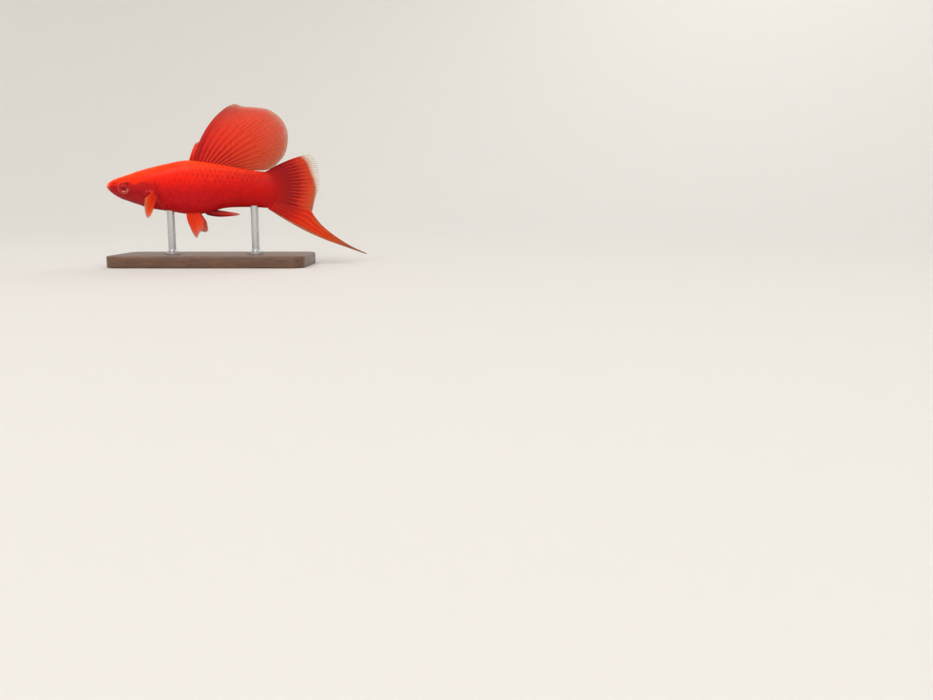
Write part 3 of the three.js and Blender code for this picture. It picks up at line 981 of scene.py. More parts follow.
@dataclass
class Skin:
    """One skin over head, trunk and tail stalk, with the relief of the head."""

    rings: int = 380
    sides: int = 240
    coat_depth: float = 0.07  # how far the skin lies below the surface where scales cover it
    nape: float = 9.6  # where the scales begin on the back
    nape_heights: tuple[float, float] = (2.6, 4.6)  # from the gill cover's edge to the nape
    head_end: float = 22.0
    cheek_swell: float = 0.35
    cheek: tuple[float, float] = (12.0, 17.9)
    gill_groove: Trace = Trace(-0.12, 0.22, 0.2)
    eye: tuple[float, float] = (8.0, -0.85)
    eye_radius: float = 2.0
    socket_depth: float = 1.5
    orbit: Trace = Trace(0.16, 0.26, 2.42)
    brow: Trace = Trace(0.1, 0.5, 3.1)
    mouth: Pairs = ((-0.5, 0.2), (0.0, 0.0), (2.4, -1.15))
    mouth_end: tuple[float, float] = (2.1, 2.7)
    lips: Trace = Trace(0.24, 0.26, 0.4)
    slit: Trace = Trace(-0.5, 0.13)
    snout_end: float = 6.5
    nostrils: tuple[tuple[float, float, float], ...] = ((3.8, 0.9, 0.2), (5.0, 1.25, 0.26))
    nostril_depth: float = 0.3
    throat: Trace = Trace(-0.18, 0.35)
    wrinkles: float = 0.03
    lip_swell: float = 0.24  # how far the lips are pushed back, so that they swell only sideways
    lip_length: float = 1.4
    tip: float = 0.05  # place of the snout's very end
    tail_from: float = 48.0  # where the body starts to be drawn in to the tail fin's root
    tail_taper: float = 9.0  # length over which its width falls to nothing
    # the fold behind the mouth, the edge of the cheek bone and the line of the lower jaw
    creases: tuple[tuple[Pairs, Trace], ...] = (
        (((2.4, -1.15), (3.1, -2.0), (3.2, -2.9)), Trace(-0.12, 0.2)),
        (((12.3, 1.4), (12.9, -1.4), (12.2, -3.9), (9.6, -5.0)), Trace(-0.08, 0.22)),
        (((3.2, -2.9), (6.2, -4.3), (10.0, -5.6), (13.6, -7.4)), Trace(-0.09, 0.22)),
    )

    def scaly(self, at: float, up: float) -> float:
        """Returns 1 where scales cover the skin and 0 on the bare head."""
        start = lerp(FORM.GILL_EDGE.at(up), self.nape, ease(up, *self.nape_heights))
        return ease(at, start - 0.2, start + 0.6)

    def relief(self, at: float, side: float, up: float) -> float:
        """Works out how far the skin stands out of the plain body.

        Args:
            at: place along the fish.
            side: place across it.
            up: height.

        Returns:
            The relief in millimetres, below 0 where the skin dips.
        """
        height = -self.coat_depth * self.scaly(at, up)
        if at > self.head_end:
            return height
        behind = at - FORM.GILL_EDGE.at(up)
        cheek = self.cheek_swell * ease(at, *self.cheek) * (1 - ease(behind, -0.15, 0.12))
        height += (cheek + self.gill_groove.at(behind)) * ease(up, 4.8, 3.2)
        from_eye = math.hypot(at - self.eye[0], up - self.eye[1])
        height += self.orbit.at(from_eye) + self.brow.at(from_eye) * ease(up, -1.2, 0.4)
        height -= self.socket_depth * (1 - ease(from_eye, self.eye_radius - 0.25, self.eye_radius + 0.18))
        if at < self.snout_end:
            slit = off_line(self.mouth, at, up)
            height += (self.lips.at(slit) + self.slit.at(slit)) * (1 - ease(at, *self.mouth_end))
            for x, z, radius in self.nostrils:
                away = math.hypot(at - x, up - z)
                height += Trace(0.07, 0.12, 1.3 * radius).at(away)
                height -= self.nostril_depth * (1 - ease(away, 0.4 * radius, radius))
        height += sum(crease.at(off_line(line, at, up)) for line, crease in self.creases)
        if up < -3 and at < 16:
            height += self.throat.at(side) * ease(at, 5.0, 7.0)
        wrinkle = noise.noise(Vector((at, side, up)) * 0.9) * ease(at, 2.0, 5.0)
        return height + self.wrinkles * wrinkle

    def drawn_in(self, at: float, up: float) -> float:
        """Returns a place along the plain body after its rear is drawn in to the tail fin's root."""
        short = FORM.LENGTH - FORM.TAIL_ROOT.at(up) - 0.2
        return at - short * ease(at, self.tail_from, FORM.LENGTH)

    def taper(self, at: float, up: float) -> float:
        """Returns how much of the body's width is left, which falls to nothing at the fin's root."""
        left = clamp((FORM.TAIL_ROOT.at(up) + 0.2 - at) / self.tail_taper)
        return 1.0 - (1.0 - left) ** 2

    def build(self, look: Look) -> None:
        """Builds the skin.

        Args:
            look: its material.
        """
        bm = bmesh.new()
        layers = [bm.verts.layers.float.new(name) for name in Livery.CARRIES]
        unwrap = bm.loops.layers.uv.new("OFBake")
        bmesh.ops.create_grid(bm, x_segments=self.rings, y_segments=self.sides, size=0.5)
        for face in bm.faces:
            for loop in face.loops:
                loop[unwrap].uv = (loop.vert.co.x + 0.5, loop.vert.co.y + 0.5)
        for vert in bm.verts:
            t, turn = vert.co.x + 0.5, 2 * math.pi * vert.co.y
            at = FORM.LENGTH * t**1.5  # closer rings towards the snout
            at = self.drawn_in(at, FORM.point(at, turn).z)
            place = FORM.point(at, turn)
            width = self.taper(at, place.z) if t < 0.9999 else 0.0
            place += FORM.normal(at, turn) * self.relief(at, place.y, place.z)
            place.x += self.lip_swell * clamp(1 - place.x / self.lip_length) ** 2
            place.y *= width
            if t < 1e-6:
                place = Vector((self.tip, 0.0, 0.0))
            vert.co = place
            for layer, value in zip(layers, MARKINGS.at(place)):
                vert[layer] = value
        bmesh.ops.remove_doubles(bm, verts=bm.verts, dist=1e-4)
        finished("skin", bm, look, ("head", "trunk", "tail_stalk"))


SKIN = Skin()


@dataclass(frozen=True)
class Markings:
    """Where skin and scales are dark or pale, and where their red is brighter. Two of the dark spots are
    painted shadows, and the pale line along the top of the head is a painted highlight.
    """

    spots: tuple[Spot, ...] = (
        Spot(3.8, 0.9, 0.4, 0.35, 0.6),
        Spot(5.0, 1.25, 0.35, 0.3, 0.45),
        # painted shadow in front of the eye
        Spot(4.2, -0.45, 0.35, 0.45, 0.5),
        Spot(5.2, 0.3, 0.2, 0.7, 0.35),
        Spot(5.4, 2.5, 0.35, 0.16, 0.4),
        Spot(3.4, -2.1, 0.32, 0.32, 0.45),
        Spot(9.7, 1.0, 1.0, 0.42, 0.9, -0.25),
        Spot(9.0, 3.05, 0.7, 0.2, 0.4, 0.25),
        Spot(14.2, 0.8, 1.8, 0.18, 0.4),
        Spot(10.4, -2.6, 0.55, 0.8, 0.45),
        Spot(7.8, -3.5, 1.5, 0.24, 0.4, -0.12),
        Spot(14.6, -2.6, 1.6, 0.9, 0.22),
        # painted shadow above the pectoral fin
        Spot(16.2, -4.1, 0.7, 0.36, 0.6),
        Spot(20.8, -0.6, 1.3, 2.2, 0.3),
        Spot(22.1, -4.6, 0.5, 1.7, 0.4),
    )
    head_end: float = 25.0
    mouth: Trace = Trace(0.35, 0.09)
    snout: float = 0.85  # how pale the tip of the snout and the chin are, and how strong the painted highlight along the nape is
    nape: float = 0.45
    chin: float = 0.5
    orbit: Trace = Trace(0.26, 0.15, 2.36)
    girdle_line: Pairs = ((17.0, -2.1), (19.6, -2.0), (20.6, -4.0), (21.6, -6.2), (22.4, -8.2))
    girdle: Trace = Trace(0.15, 0.22)
    keel: Trace = Trace(0.2, 0.22, 0.35)
    bright_cheek: Spot = Spot(12.6, 0.95, 1.3, 0.55, 0.11)
    wander: float = 0.05  # how far the line between bright back and crimson flank strays

    def at(self, place: Vector) -> tuple[float, ...]:
        """Works out what the colouring needs to know at a place on the skin or on a scale.

        Args:
            place: the place in the fish's frame.

        Returns:
            The values that Livery.CARRIES names.
        """
        at, up = place.x, place.z
        s = FORM.section(round(clamp(at, 0.0, FORM.LENGTH), 2))
        mark = pale = 0.0
        if at < self.head_end:
            slit = off_line(SKIN.mouth, at, up)
            from_eye = math.hypot(at - SKIN.eye[0], up - SKIN.eye[1])
            # dark marks and painted shadows from the spots, then the dark line of the mouth
            mark = clamp(sum(spot.share(at, up) for spot in self.spots))
            mark = max(mark, self.mouth.at(slit) * (1 - ease(at, 2.2, 2.8)))
            pale = (1 - mark) * max(
                self.snout * (1 - ease(at, 0.2, 2.5)) * ease(slit, 0.06, 0.14),
                # painted highlight along the top of the head, as if lit from above
                self.nape * ease(up, s.back - 0.5, s.back) * (1 - ease(at, 6.0, 24.0)),
                self.chin * (1 - ease(up, s.belly - 0.05, s.belly + 0.5)) * (1 - ease(at, 1.0, 10.0)),
                self.orbit.at(from_eye) * (0.35 + 0.65 * ease(at - up, 9.6, 6.4)),
                self.girdle.at(off_line(self.girdle_line, at, up)),
            )
        pale = max(pale, self.keel.at(up - s.belly) * ease(at, 18.0, 20.0) * ease(at, 33.0, 30.0))
        stray = self.wander * noise.noise(Vector((at * 0.33, up * 0.7, 4.0))) * ease(at, 3.0, 9.0)
        rise = (up - s.belly) / (s.back - s.belly) + stray + self.bright_cheek.share(at, up)
        root = ease(FORM.TAIL_ROOT.at(up) - at, 6.0, -2.0)
        return (clamp(rise), at / FORM.LENGTH, mark, pale, root)


MARKINGS = Markings()


@dataclass
class ScaleCoat:
    """Overlapping scales from the nape and gill cover to the tail fin, in alternating rows."""

    pitch: float = 1.87  # 26 scales in a row along the flank
    rows: int = 10  # rows over one side, from the one on the back to the one under the belly
    length: float = 3.4
    grown: tuple[float, float] = (10.0, 20.0)  # scales reach full size over this stretch
    front_pitch: float = 0.78
    front_size: float = 0.8
    size_spread: float = 0.03
    tone_spread: float = 0.04
    dip: float = 0.03  # how deep the root of a scale sits in the skin
    proud: float = 0.06  # how high its free edge stands
    sag: float = 0.015  # how much lower its corners lie
    thickness: float = 0.035
    breadth: float = 1.02  # half its breadth, in rows
    fullness: float = 0.42  # how round the free edge is
    back_fin: tuple[float, float] = (30.6, 49.5)  # no scales on the ridge along its base
    # dark corners: least, more towards the rear, most on the upper flank, where, and how they vary
    speck: tuple[float, float, float] = (0.1, 0.08, 0.58)
    speck_row: tuple[float, float] = (0.27, 0.19)
    speck_spread: tuple[float, float] = (0.55, 1.15)
    fin_half: float = 0.21  # half the tail fin's thickness at its base
    grid: tuple[int, int] = (4, 6)
    patch: float = 0.003
    seed: int = 7

    def places(self) -> list[tuple[float, float, Side]]:
        """Lays the scales out in alternating rows.

        Returns:
            Each scale's root as (along, share of the half girth, side).
        """
        stops = [SKIN.nape]
        while stops[-1] < FORM.LENGTH:
            grown = ease(stops[-1], *self.grown)
            stops.append(stops[-1] + self.pitch * lerp(self.front_pitch, 1.0, grown))
        found = []
        for row in range(self.rows + 1):
            share = row / self.rows
            for i, stop in enumerate(stops[:-1]):
                at = stop if row % 2 == 0 else (stop + stops[i + 1]) / 2
                for side in (Side.LEFT,) if row in (0, self.rows) else Side:
                    if self._covered(at, share):
                        found.append((at, share, side))
        return found

    def _covered(self, at: float, share: float) -> bool:
        """Finds out whether a scale grows at a place.

        Args:
            at: place along the fish.
            share: share of the half girth.

        Returns:
            Whether one does.
        """
        up = FORM.point(at, FORM.angle_at(at, share)).z
        start = lerp(FORM.GILL_EDGE.at(up) - 1.2, SKIN.nape - 0.2, ease(up, *SKIN.nape_heights))
        first, last = self.back_fin
        under_fin = share == 0 and first < at < last
        return at > start and at + self.length < FORM.TAIL_ROOT.at(up) + 1.2 and not under_fin

    def _angle(self, at: float, share: float, side: Side) -> float:
        """Finds the angle round the section, also past the middle of the back or the belly.

        Args:
            at: place along the fish.
            share: share of the half girth, below 0 or above 1 past the middle.
            side: the side that the scale's root is on.

        Returns:
            The angle, as BodyForm.point takes it.
        """
        if share > 1:
            return side.value * (2 * math.pi - FORM.angle_at(at, 2 - share))
        return math.copysign(FORM.angle_at(at, clamp(abs(share))), side.value * share)

    def build(self, look: Look, side: Side) -> None:
        """Builds the scales of one side as one joined mesh.

        Args:
            look: their material.
            side: the side of the fish.
        """
        draw = random.Random(self.seed + side.value)
        bm = bmesh.new()
        layers = [bm.verts.layers.float.new(name) for name in (*Livery.CARRIES, "tone", "speck")]
        unwrap, lie = (bm.loops.layers.uv.new(name) for name in ("OFBake", "lie"))
        for at, share, own in self.places():
            if own is not side:
                continue
            size = lerp(self.front_size, 1.0, ease(at, *self.grown))
            size *= draw.uniform(1 - self.size_spread, 1 + self.size_spread)
            tone = draw.uniform(1 - self.tone_spread, 1 + self.tone_spread)
            least, rear, flank = self.speck
            row, wide = self.speck_row
            speck = least + rear * ease(at, 18.0, 30.0)
            speck += flank * bell(share - row, wide) * ease(at, 22.0, 40.0) * ease(at, 66.0, 58.0)
            speck = clamp(speck * draw.uniform(*self.speck_spread))
            turn = FORM.angle_at(at, share) * side.value
            root = Vector(((at / FORM.LENGTH) ** (2 / 3), 0.5 + turn / (2 * math.pi)))
            for vert in slab(bm, *self.grid):
                a, b, top = vert.co.x, 2 * vert.co.y - 1, vert.co.z
                here = at + self.length * size * a * (1 - self.fullness * b * b)
                beside = share + self.breadth * b / self.rows * lerp(1.0, 0.9, a)
                angle = self._angle(here, beside, side)
                lift = lerp(-self.dip, self.proud, a) - self.sag * b * b + self.thickness * (top - 1)
                place = FORM.point(here, angle)
                width = SKIN.taper(here, place.z)
                place += FORM.normal(here, angle) * (lift - SKIN.coat_depth)
                # the last scales lie on the base of the tail fin
                on_fin = (self.fin_half + lift) * ease(here, 60.0, 64.0) * ease(abs(place.y), 0.0, 0.4)
                place.y = math.copysign(max(abs(place.y) * width, on_fin), place.y)
                vert.co = place
                for layer, value in zip(layers, (*MARKINGS.at(place), tone, speck)):
                    vert[layer] = value
                for loop in vert.link_loops:
                    loop[lie].uv = (a, (b + 1) / 2)
                    loop[unwrap].uv = root + Vector((a - 0.5, b / 2)) * self.patch
        finished(f"scales_{side.name.lower()}", bm, look, crease=35.0)


# Eyes


@dataclass
class Eye:
    """An eyeball set in its orbit under a clear window."""

    along: float = 8.0
    side: float = 3.1
    up: float = -0.85
    radius: float = 2.16
    depth: float = 1.28
    pupil: float = 0.96
    lens: float = 0.12  # how far the lens swells through the pupil
    trough: Trace = Trace(-0.1, 0.16, 1.08)  # round the pupil
    window: float = 1.56
    window_back: float = -0.1
    facets: int = 64
    aim: float = -4.0  # degrees that the eyes look forwards
    # painted highlights as pale arcs on the iris, as (strength, turn and its width, share of the radius
    # and its width)
    glints: tuple[tuple[float, ...], ...] = (
        (1.0, -0.08, 0.34, 0.62, 0.1),
        (0.62, 0.95, 0.42, 0.74, 0.13),
        (0.5, 0.3, 0.9, 0.93, 0.06),
    )

    def _aimed(self, profile: Pairs, side: Side) -> BMesh:
        """Spins a profile round the eye's axis.

        Args:
            profile: corners as (distance from the axis, place along the axis), outwards last.
            side: the side of the fish.

        Returns:
            The closed mesh in the fish's frame.
        """
        bm = turned(profile, self.facets)
        outwards = Matrix.Rotation(side.value * -math.pi / 2, 4, "X")
        aim = Matrix.Rotation(side.value * math.radians(self.aim), 4, "Z")
        place = Matrix.Translation((self.along, side.value * self.side, self.up))
        bmesh.ops.transform(bm, matrix=place @ aim @ outwards, verts=bm.verts)
        return bm

    def _globe(self, side: Side, look: Look) -> None:
        """Builds the globe with its lens and iris.

        Args:
            side: the side of the fish.
            look: its material.
        """
        count = 40
        profile = []
        for i in range(count + 1):
            radius = self.radius * math.sin(math.pi * i / count)
            out = -self.depth * math.cos(math.pi * i / count)
            if i > count / 2:
                out += self.trough.at(radius)
                out += self.lens * math.sqrt(max(1 - (radius / self.pupil) ** 2, 0.0))
            profile.append((0.0 if i in (0, count) else radius, out))
        bm = self._aimed(profile, side)
        ring, glint = (bm.verts.layers.float.new(name) for name in ("ring", "glint"))
        for vert in bm.verts:
            x, z = vert.co.x - self.along, vert.co.z - self.up
            away, turn = math.hypot(x, z) / self.radius, math.atan2(x, -z)
            vert[ring] = clamp(away) if vert.co.y * side.value > self.side else 1.0
            # painted highlights, as arcs round the eye's axis
            arcs = (s * bell(turn - t, wide) * bell(away - r, deep) for s, t, wide, r, deep in self.glints)
            vert[glint] = clamp(sum(arcs))
        finished(f"eyeball_{side.name.lower()}", bm, look, (f"eye_{side.name.lower()}",))

    def _window(self, side: Side, look: Look) -> None:
        """Builds the clear cornea, a dome whose flat back lies inside the globe.

        Args:
            side: the side of the fish.
            look: its material.
        """
        dome = [(0.98 * self.radius * c, self.window * s) for s, c in quarter(20)[:-1]]
        back = [(0.0, self.window_back), (0.97 * self.radius, self.window_back)]
        bm = self._aimed([*back, *dome, (0.0, self.window)], side)
        finished(f"cornea_{side.name.lower()}", bm, look)

    def build(self, iris: Look, cornea: Look) -> None:
        """Builds both eyes.

        Args:
            iris: material of the globe.
            cornea: material of the window.
        """
        for side in Side:
            self._globe(side, iris)
            self._window(side, cornea)


# Fins


@dataclass
class RayedFin:
    """A web of skin over branching rays. Its kinds say where the web lies."""

    name: str
    rays: int
    rows: int
    finish: FinMembrane
    columns_per_ray: int = 12
    web: tuple[float, float] = (0.16, 0.06)  # half thickness of the skin at root and rim
    ridge: tuple[float, float] = (0.09, 0.06)  # how far a ray stands out at root and rim
    forks: Pairs = ((0.14, 0.34), (0.5, 0.75))  # where the rays split in two, and in two again
    breadth: float = 0.5  # of an unbranched ray, as a share of its distance to the next

    def before(self, u: float) -> float:
        """Returns how many steps from ray to ray lie in front of a place across the fin."""
        return u * (self.rays - 1)

    def rays_at(self, u: float, v: float) -> float:
        """Reads the height of the rays.

        Args:
            u: place across the fin, from its front to its rear.
            v: place outwards, from root to rim.

        Returns:
            1 on the crest of a ray and 0 between two.
        """
        phase = 0.5 + self.before(u)
        off = abs(phase - math.floor(phase) - 0.5) * 2  # 0 on the ray, 1 half way to the next
        crest = max(1 - off / self.breadth, 0.0)
        half = 0.5
        for start, end in self.forks:
            part = ease(v, start, end)
            branch = max(1 - abs(off - half * part) / (0.5 * half + 0.06), 0.0)
            crest = lerp(crest, branch, part)
            off, half = abs(off - half), 0.25
        return crest

    def place(self, u: float, v: float) -> Vector:
        """Finds a point of the web's middle surface.

        Args:
            u: place across the fin.
            v: place outwards.

        Returns:
            The point in the fish's frame.
        """
        raise NotImplementedError

    def bare(self, u: float, v: float) -> float:
        """Returns how far the rim has turned to bare pale ray tips, from 0 to 1."""
        return ease(v, 0.94, 1.0) * 0.35

    def thin(self, u: float, v: float) -> float:
        """Returns how far the web has thinned, as a place in its finish's clear steps."""
        return v

    def build(self) -> None:
        """Builds the fin, which stands for the node of its name."""
        columns = self.columns_per_ray * (self.rays - 1)
        bm = bmesh.new()
        layers = [bm.verts.layers.float.new(name) for name in FinMembrane.CARRIES]
        tiny = 1e-3
        middle: dict[tuple[int, int], tuple[Vector, Vector]] = {}
        for vert in slab(bm, columns, self.rows):
            u, v, face = vert.co.x, vert.co.y, 2 * vert.co.z - 1
            key = (round(u * columns), round(v * self.rows))
            if key not in middle:
                across = self.place(min(u + tiny, 1), v) - self.place(max(u - tiny, 0), v)
                outward = self.place(u, min(v + tiny, 1)) - self.place(u, max(v - tiny, 0))
                middle[key] = (self.place(u, v), across.cross(outward).normalized())
            point, facing = middle[key]
            ray = self.rays_at(u, v)
            edge = clamp(min(u, 1 - u) * columns / 3 + 0.35) * clamp((1 - v) * self.rows / 2 + 0.3)
            half = (lerp(*self.web, v) + lerp(*self.ridge, v) * ray) * edge
            vert.co = point + facing * (half * face)
            # the colours start a little earlier on one ray and later on the next
            out = clamp(v + 0.05 * noise.noise(Vector((u * self.rays * 0.8, v * 2.0, 1.0))))
            for layer, value in zip(layers, (u, out, self.thin(u, v), ray, self.bare(u, v))):
                vert[layer] = value
        finished(f"{self.name}_web", bm, self.finish.build(), (self.name,))


@dataclass
class BackFin(RayedFin):
    """The sail-like back fin, its first two rays short and the rest sweeping back."""

    name: str = "dorsal_fin"
    rays: int = 16
    rows: int = 64
    finish: FinMembrane = FinMembrane(
        "fin_membrane_dorsal",
        outwards=(
            (0.0, "#C81418"), (0.2, "#E42818"), (0.45, "#F24026"),
            (0.68, "#E8563C"), (0.88, "#CC684E"), (1.0, "#B08878"),
        ),
        forwards=(
            (0.0, "#FF3A1C"), (0.075, "#F02C1C"), (0.1, "#A80C24"), (0.17, "#B01426"), (0.26, "#E83426"),
            (0.4, "#F44028"), (0.58, "#E04426"), (0.75, "#C04C26"), (1.0, "#8A5030"),
        ),
        share=0.58,
        gaps="#A00A10",
        gap_shares=((0.03, 0.9), (0.2, 0.72), (0.34, 0.4), (0.5, 0.24), (0.7, 0.12), (1.0, 0.0)),
        clear=((0.0, 1.0), (0.5, 0.95), (0.8, 0.84), (0.95, 0.62), (1.0, 0.4)),
    )  # fmt: skip
    forks: Pairs = ((0.42, 0.66), (0.7, 0.92))
    breadth: float = 0.85
    base: tuple[float, float] = (32.3, 50.0)
    sink: float = 1.3  # how deep the web starts in the back
    rim: Line = Line((
        (35.3, 16.6), (36.8, 17.2), (38.6, 19.9), (41.1, 23.7), (45.9, 28.8), (50.6, 31.4),
        (54.2, 30.5), (59, 30.1), (64.2, 29.2), (68.6, 26.3), (71.2, 22.2), (71.7, 17),
        (70.4, 12.2), (68.6, 9.8), (66.4, 7.7), (64, 6.4), (61.8, 5.95),
    ))  # fmt: skip
    # across the fin: where each ray ends on the rim, how far it bows, and rays in front of it
    rim_share: Pairs = ((0, 0), (0.08, 0.03), (1 / 6, 0.32), (1, 1))
    bow: Pairs = ((0, 0.05), (0.08, 0), (0.12, 0.14), (1 / 6, 0.22), (0.5, 0.07), (1, 0))
    spread: Pairs = ((0, 0), (1 / 6, 2), (1, 15))
    sway: float = 1.2
    fray: float = 0.15

    def before(self, u: float) -> float:
        """Returns how many steps from ray to ray lie in front of a place across the fin."""
        return steps(self.spread, u)

    def place(self, u: float, v: float) -> Vector:
        """Finds a point of the web's middle surface.

        Args:
            u: place across the fin.
            v: place outwards.

        Returns:
            The point in the fish's frame.
        """
        x = lerp(*self.base, u)
        root = Vector((x, 0.0, FORM.section(x).back - self.sink))
        tip = self.rim.at(steps(self.rim_share, u))
        chord = tip - root
        bend = (root + tip) / 2 + Vector((-chord.z, 0.0, chord.x)) * steps(self.bow, u)
        made = root * (1 - v) ** 2 + bend * (2 * v * (1 - v)) + tip * v * v
        made += chord.normalized() * (self.fray * ease(v, 0.92, 1.0) * (self.rays_at(u, 1.0) - 1.0))
        made.y = self.sway * v * v * math.sin(2 * math.pi * (0.1 + 0.8 * u))
        return made

    def bare(self, u: float, v: float) -> float:
        """Returns how far the rim has turned to bare pale ray tips, from 0 to 1."""
        front = 0.7 * ease(v, 0.91, 0.98) * (1 - ease(u, 0.17, 0.22))
        return max(front, 0.35 * ease(v, 0.93, 1.0))


@dataclass
class TailFan(RayedFin):
    """The upper part of the tail fin, a fan whose rays run out bare past the skin."""

    name: str = "tail_fin"
    rays: int = 15
    rows: int = 56
    finish: FinMembrane = FinMembrane(
        "fin_membrane_tail",
        outwards=(
            (0.0, "#BC1012"), (0.1, "#B20E12"), (0.22, "#A20C14"), (0.34, "#A61018"),
            (0.48, "#CE2C1C"), (0.62, "#DC3820"), (0.8, "#DC4A26"), (1.0, "#B86C48"),
        ),
        forwards=((0.0, "#C02418"), (0.5, "#E03418"), (1.0, "#FF4414")),
        share=0.08,
        gaps="#8E0A12",
        gap_shares=((0.0, 0.0), (0.24, 0.15), (0.42, 0.8), (0.54, 0.85), (0.66, 0.4), (0.86, 0.1)),
        clear=((0.0, 1.0), (0.79, 0.96), (0.89, 0.2), (0.97, 0.0)),
        ray_width=(0.45, 0.8),
        ray_clear=0.85,
    )  # fmt: skip
    ridge: tuple[float, float] = (0.02, 0.09)
    forks: Pairs = ((0.64, 0.86),)
    root: Line = Line(((61.8, 5.2), (65, 3), (66, -1.6), (65.4, -5.2)))
    rim: Line = Line((
        (79.4, 12.3), (81.4, 10.4), (82.6, 6.6), (83.1, 2.3), (82.6, -1.7), (81.4, -5.4), (80.1, -9.25),
    ))  # fmt: skip
    notch: Pairs = ((0, 3.4), (0.35, 2.7), (0.6, 1.2), (0.8, 0.4), (1, 0.0))  # depth between ray tips
    fin_length: float = 17.0
    fray: float = 0.5
    arch: float = 0.9
    sway: float = 0.7
    drop: float = 0.6  # of its last ray, which lies against the first ray of the sword
    sword_sway: float = -0.09

    def place(self, u: float, v: float) -> Vector:
        """Finds a point of the web's middle surface.

        Args:
            u: place across the fin.
            v: place outwards.

        Returns:
            The point in the fish's frame.
        """
        root, rim = self.root.at(u), self.rim.at(u)
        fray = self.fray * lerp(1.0, 0.3, ease(u, 0.55, 0.9))
        past = ease(v, 0.9, 1.0) * lerp(-steps(self.notch, u) * 0.6, fray, self.rays_at(u, 1.0))
        made = root.lerp(rim, v) + (rim - root).normalized() * past
        join = ease(u, 0.8, 1.0)
        made.z += self.arch * 4 * v * (1 - v) * (1 - u) ** 3 - self.drop * join
        own = self.sway * v * v * math.sin(math.pi * (0.2 + u))
        made.y = lerp(own, self.sword_sway * v * v, join)
        return made

    def bare(self, u: float, v: float) -> float:
        """Returns how far the rim has turned to bare pale ray tips, from 0 to 1."""
        start = 1 - steps(self.notch, u) / self.fin_length
        return ease(v, start - 0.02, start + 0.03)

    def thin(self, u: float, v: float) -> float:
        """Returns how far the web has thinned, as a place in its finish's clear steps."""
        return v * lerp(1.0, 0.8, ease(u, 0.3, 0.85))


@dataclass
class Sword(RayedFin):
    """The long lower rays of the tail fin."""

    name: str = "tail_sword"
    rays: int = 5
    rows: int = 120
    finish: FinMembrane = FinMembrane(
        "fin_membrane_sword",
        outwards=(
            (0.0, "#AC0C12"), (0.12, "#A20C14"), (0.19, "#B41414"), (0.27, "#EA2C12"),
            (0.38, "#F24412"), (0.52, "#EE4A0E"), (0.62, "#DC5418"), (0.72, "#BE5C2C"),
            (0.82, "#966444"), (0.9, "#7E6650"), (1.0, "#786A58"),
        ),
        forwards=((0.0, "#D03018"), (0.25, "#E03C18"), (0.6, "#FF2C04"), (1.0, "#C82810")),
        share=0.15,
        gaps="#B01A08",
        gap_shares=((0.0, 0.1), (0.2, 0.5), (0.6, 0.55), (0.85, 0.2), (1.0, 0.1)),
        clear=((0.0, 1.0), (0.8, 1.0), (1.0, 0.7)),
        glow=0.12,
        ray_tip="#A87854",
    )  # fmt: skip
    web: tuple[float, float] = (0.16, 0.1)
    ridge: tuple[float, float] = (0.09, 0.07)
    forks: Pairs = ()
    upper: Line = Line((
        (65.4, -5.75), (73.5, -8.05), (79.8, -9.8), (81.0, -11.5),
        (83.7, -14.9), (87.5, -18.2), (94.6, -22.95), (101.3, -26.1),
    ))  # fmt: skip
    lower: Line = Line((
        (62.8, -8.9), (69.4, -13), (77.1, -17.3), (84.9, -20.8), (92.8, -23.6), (101.5, -26.6),
    ))  # fmt: skip
    sway: float = 0.8

    def place(self, u: float, v: float) -> Vector:
        """Finds a point of the web's middle surface.

        Args:
            u: place across the fin.
            v: place outwards.

        Returns:
            The point in the fish's frame.
        """
        made = self.upper.at(v).lerp(self.lower.at(v), u)
        made.y = -self.sway * v * v
        return made

    def bare(self, u: float, v: float) -> float:
        """Finds where the tip and the two rims have turned pale.

        Args:
            u: place across the fin.
            v: place outwards.

        Returns:
            How far they have, from 0 to 1.
        """
        below = 0.75 * ease(u, lerp(0.9, 0.72, v), lerp(0.97, 0.86, v))
        above = 0.5 * ease(u, 0.3, 0.04) * ease(v, 0.33, 0.5)
        return max(ease(v, 0.8, 0.98), below, above)

    def thin(self, u: float, v: float) -> float:
        """Returns how far the web has thinned, as a place in its finish's clear steps."""
        return max(v, ease(u, 0.12, 0.0) * ease(v, 0.34, 0.42))


@dataclass(kw_only=True)
class PairedFin(RayedFin):
    """A pectoral or pelvic fin."""

    root: Line
    rim: Line
    bulge: tuple[float, float, float]  # how far the front of its web bellies out
    fray: float = 0.45

    def place(self, u: float, v: float) -> Vector:
        """Finds a point of the web's middle surface.

        Args:
            u: place across the fin.
            v: place outwards.

        Returns:
            The point in the fish's frame.
        """
        root, rim = self.root.at(u), self.rim.at(u)
        worn = self.fray * ease(v, 0.82, 1.0) * (self.rays_at(u, 1.0) - 0.75)
        made = root.lerp(rim, v) + (rim - root).normalized() * worn
        return made + Vector(self.bulge) * (4 * v * (1 - v) * (1 - u))


